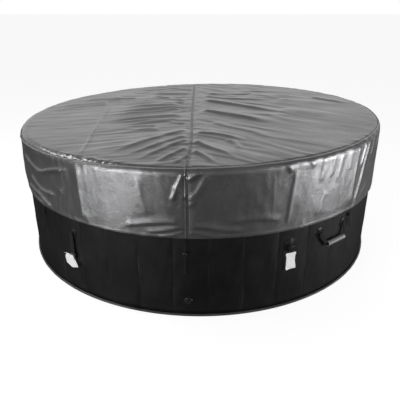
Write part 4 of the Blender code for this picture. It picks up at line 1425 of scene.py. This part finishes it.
def surroundings():
    floor_mesh = bpy.data.meshes.new("studio_floor")
    wide = 60.0
    floor_mesh.from_pydata([(-wide, -wide, 0), (wide, -wide, 0), (wide, wide, 0), (-wide, wide, 0)], [],
                           [(0, 1, 2, 3)])
    floor = linked("studio_floor", floor_mesh)
    floor.location.z = -0.0005
    made, tree, shader = principled("floor_paint", 0.6, Specular_IOR_Level=0.2,
                                    Base_Color=(0.10, 0.10, 0.10, 1))
    direct = put(tree, "ShaderNodeLightPath").outputs["Is Camera Ray"]
    pale = put(tree, "ShaderNodeBsdfDiffuse", {"Color": (0.55, 0.55, 0.55, 1)}).outputs["BSDF"]
    glow = put(tree, "ShaderNodeEmission", {"Color": (1, 1, 1, 1), "Strength": 0.86}).outputs["Emission"]
    seen = put(tree, "ShaderNodeAddShader", {0: pale, 1: glow}).outputs["Shader"]
    mixed = put(tree, "ShaderNodeMixShader", {0: direct, 1: shader.outputs["BSDF"], 2: seen})
    tree.links.new(mixed.outputs["Shader"], tree.nodes["Material Output"].inputs["Surface"])
    floor_mesh.materials.append(made)

    world = bpy.data.worlds.new("studio")
    bpy.context.scene.world = world
    world.use_nodes = True
    tree = world.node_tree
    tree.nodes.clear()
    way = put(tree, "ShaderNodeTexCoord").outputs["Generated"]
    parts = put(tree, "ShaderNodeSeparateXYZ", {"Vector": way}).outputs
    behind = spread(tree, parts["Y"], 0.24, 0.76, 0.45, 0.90)
    low = spread(tree, parts["Z"], 1.0, 0.34, 0.10, 0.45, interpolation_type="SMOOTHSTEP")
    rear = put(tree, "ShaderNodeMath", {0: behind, 1: low}, operation="MULTIPLY").outputs[0]
    over = spread(tree, parts["Z"], 0.0, 0.02, 0.15, 0.6)
    bright = put(tree, "ShaderNodeMath", {0: rear, 1: over}, operation="ADD").outputs[0]
    lit, seen = (put(tree, "ShaderNodeBackground", {"Color": (1, 1, 1, 1), "Strength": strength})
                 .outputs["Background"] for strength in (bright, 1.0))
    direct = put(tree, "ShaderNodeLightPath").outputs["Is Camera Ray"]
    mixed = put(tree, "ShaderNodeMixShader", {0: direct, 1: lit, 2: seen}).outputs["Shader"]
    tree.links.new(mixed, put(tree, "ShaderNodeOutputWorld").inputs["Surface"])


def softbox(name, azimuth, distance, height, size, power):
    data = bpy.data.lights.new(name, "AREA")
    data.shape = "RECTANGLE"
    data.size, data.size_y = size
    data.energy = power
    light = linked(name, data)
    light.location = round_the_wall(azimuth, distance, height)
    way = Vector((0, 0, 0.35)) - light.location
    light.rotation_euler = way.to_track_quat("-Z", "Y").to_euler()


surroundings()
softbox("left_softbox", -41, 3.6, 0.60, (1.3, 1.1), 24)
softbox("right_softbox", 66, 3.6, 0.60, (1.7, 1.1), 37)
softbox("side_softbox", -88, 2.7, 2.7, (2.2, 1.2), 17)

scene = bpy.context.scene
scene.view_settings.view_transform = "Standard"
